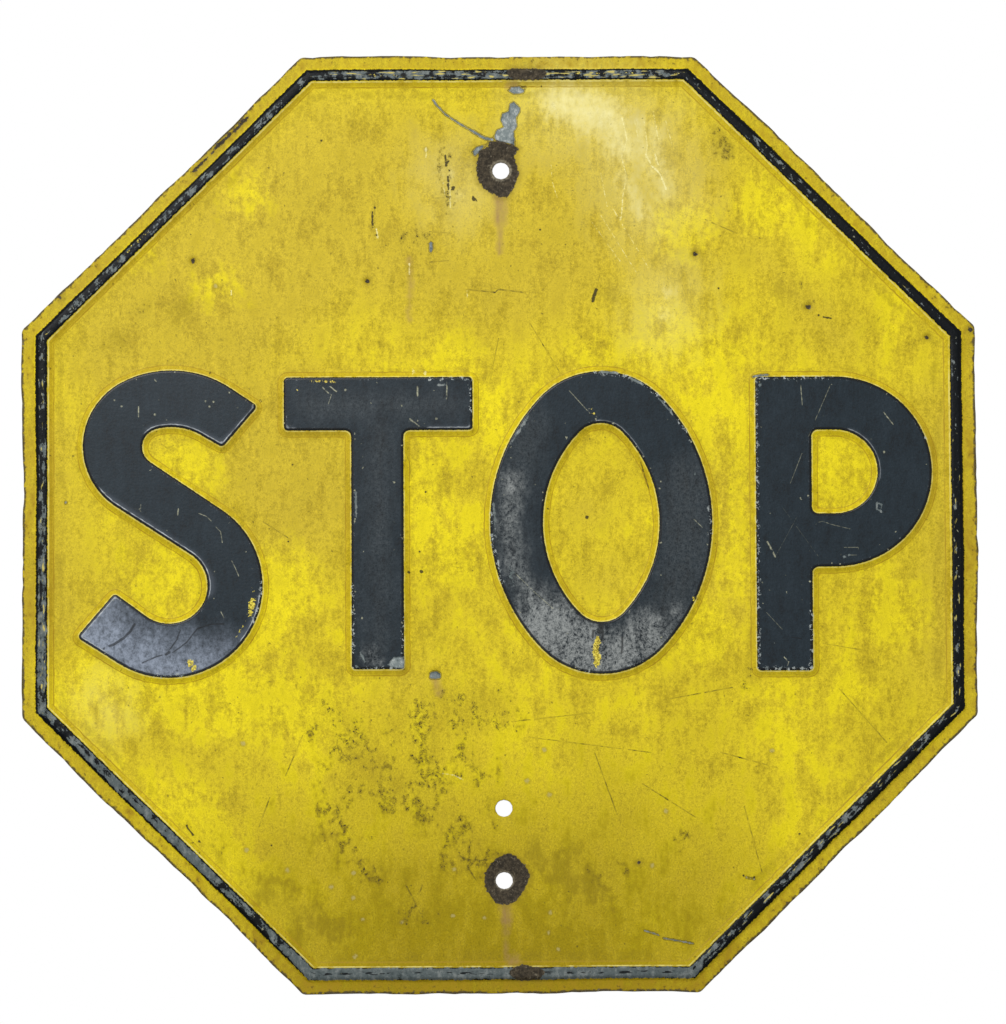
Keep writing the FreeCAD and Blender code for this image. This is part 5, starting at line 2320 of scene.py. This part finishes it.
@dataclass(frozen=True)
class Studio:
    """The camera, the plain floor and the soft light."""

    aim: tuple[float, float, float] = (0.0003, -0.0015, 0.0076)
    distance: float = 10.6036
    rise: float = 11.185
    turn: float = 0.108
    roll: float = -0.279
    lens: float = 583.59
    sensor: float = 36.0
    farthest: float = 200.0
    floor_z: float = -3.0
    floor_size: float = 14.0
    floor_cloud: float = 900.0
    floor_grain: float = 40.0
    floor_depth: float = 0.00005
    floor_roughness: float = 0.9
    floor_dark: Colour = screen(240, 240, 238)
    floor_light: Colour = screen(247, 247, 246)
    fill: float = 0.46
    key_power: float = 32.0
    key_place: tuple[float, float, float] = (-0.5, -2.0, 1.1)
    key_size: float = 0.9

    def set_camera(self) -> None:
        """Places the camera at the photograph's angle."""
        turn, rise = math.radians(self.turn), math.radians(self.rise)
        level = math.cos(rise)
        ahead = Vector((math.sin(turn) * level, math.cos(turn) * level, math.sin(rise)))
        side = Vector((math.cos(turn), -math.sin(turn), 0.0))
        above = side.cross(ahead)
        roll = math.radians(self.roll)
        right = side * math.cos(roll) + above * math.sin(roll)
        up = right.cross(ahead)
        data = bpy.data.cameras.new("view")
        data.lens = self.lens
        data.sensor_width = self.sensor
        data.clip_end = self.farthest
        camera = bpy.data.objects.new("view", data)
        bpy.context.scene.collection.objects.link(camera)
        facing = Matrix((right, up, -ahead)).transposed().to_4x4()
        camera.matrix_world = Matrix.Translation(Vector(self.aim) - ahead * self.distance) @ facing
        bpy.context.scene.camera = camera

    def set_floor(self) -> None:
        """Lays the plain pale floor."""
        half = self.floor_size / 2
        corners = [(-half, -half), (half, -half), (half, half), (-half, half)]
        mesh = bpy.data.meshes.new("floor")
        mesh.from_pydata([(x, y, self.floor_z) for x, y in corners], [], [(0, 1, 2, 3)])
        board = Board(bpy.data.materials.new("floor_pale"))
        clouds = board.grain(self.floor_cloud, 61.0, detail=2.0).rising(-1, 1)
        shade = board.mix(clouds, self.floor_dark, self.floor_light)
        sockets = {"Base Color": shade, "Roughness": self.floor_roughness}
        mesh.materials.append(board.finish(sockets, board.grain(self.floor_grain, 62.0), self.floor_depth))
        floor = bpy.data.objects.new("floor", mesh)
        bpy.context.scene.collection.objects.link(floor)

    def set_lamps(self) -> None:
        """Hangs one large soft lamp above the front."""
        data = bpy.data.lights.new("soft_key", "AREA")
        data.energy = self.key_power
        data.size = self.key_size
        lamp = bpy.data.objects.new("soft_key", data)
        lamp.location = self.key_place
        lamp.rotation_euler = (-Vector(self.key_place)).to_track_quat("-Z", "Y").to_euler()
        bpy.context.scene.collection.objects.link(lamp)

    def set_world(self) -> None:
        """Makes the background white and the light that fills the room soft."""
        world = bpy.data.worlds.new("room")
        bpy.context.scene.world = world
        board = Board(world)
        path = board.node("ShaderNodeLightPath")
        seen = Wire(board, path.outputs["Is Camera Ray"])
        for name in ("Is Glossy Ray", "Is Transmission Ray"):
            seen = seen.most(Wire(board, path.outputs[name]))
        level = board.node("ShaderNodeMapRange", None, {"Value": seen, "To Min": self.fill, "To Max": 1.0})
        given = {"Color": (1.0, 1.0, 1.0, 1.0), "Strength": level.outputs["Result"]}
        glow = board.node("ShaderNodeBackground", None, given)
        board.node("ShaderNodeOutputWorld", None, {"Surface": glow.outputs["Background"]})

    def build(self) -> None:
        """Sets up the whole studio."""
        self.set_camera()
        self.set_floor()
        self.set_lamps()
        self.set_world()
        bpy.context.scene.view_settings.view_transform = "Standard"


def main() -> None:
    """Builds the sign and the studio, and logs how many spots and faces the sheet has."""
    logging.basicConfig(level=logging.INFO, format="%(name)s: %(message)s")
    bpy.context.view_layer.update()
    Studio().build()
    piece = SignFace().build()
    log.info("%s: %d spots, %d faces", piece.name, len(piece.data.vertices), len(piece.data.polygons))


if __name__ == "__main__":
    main()
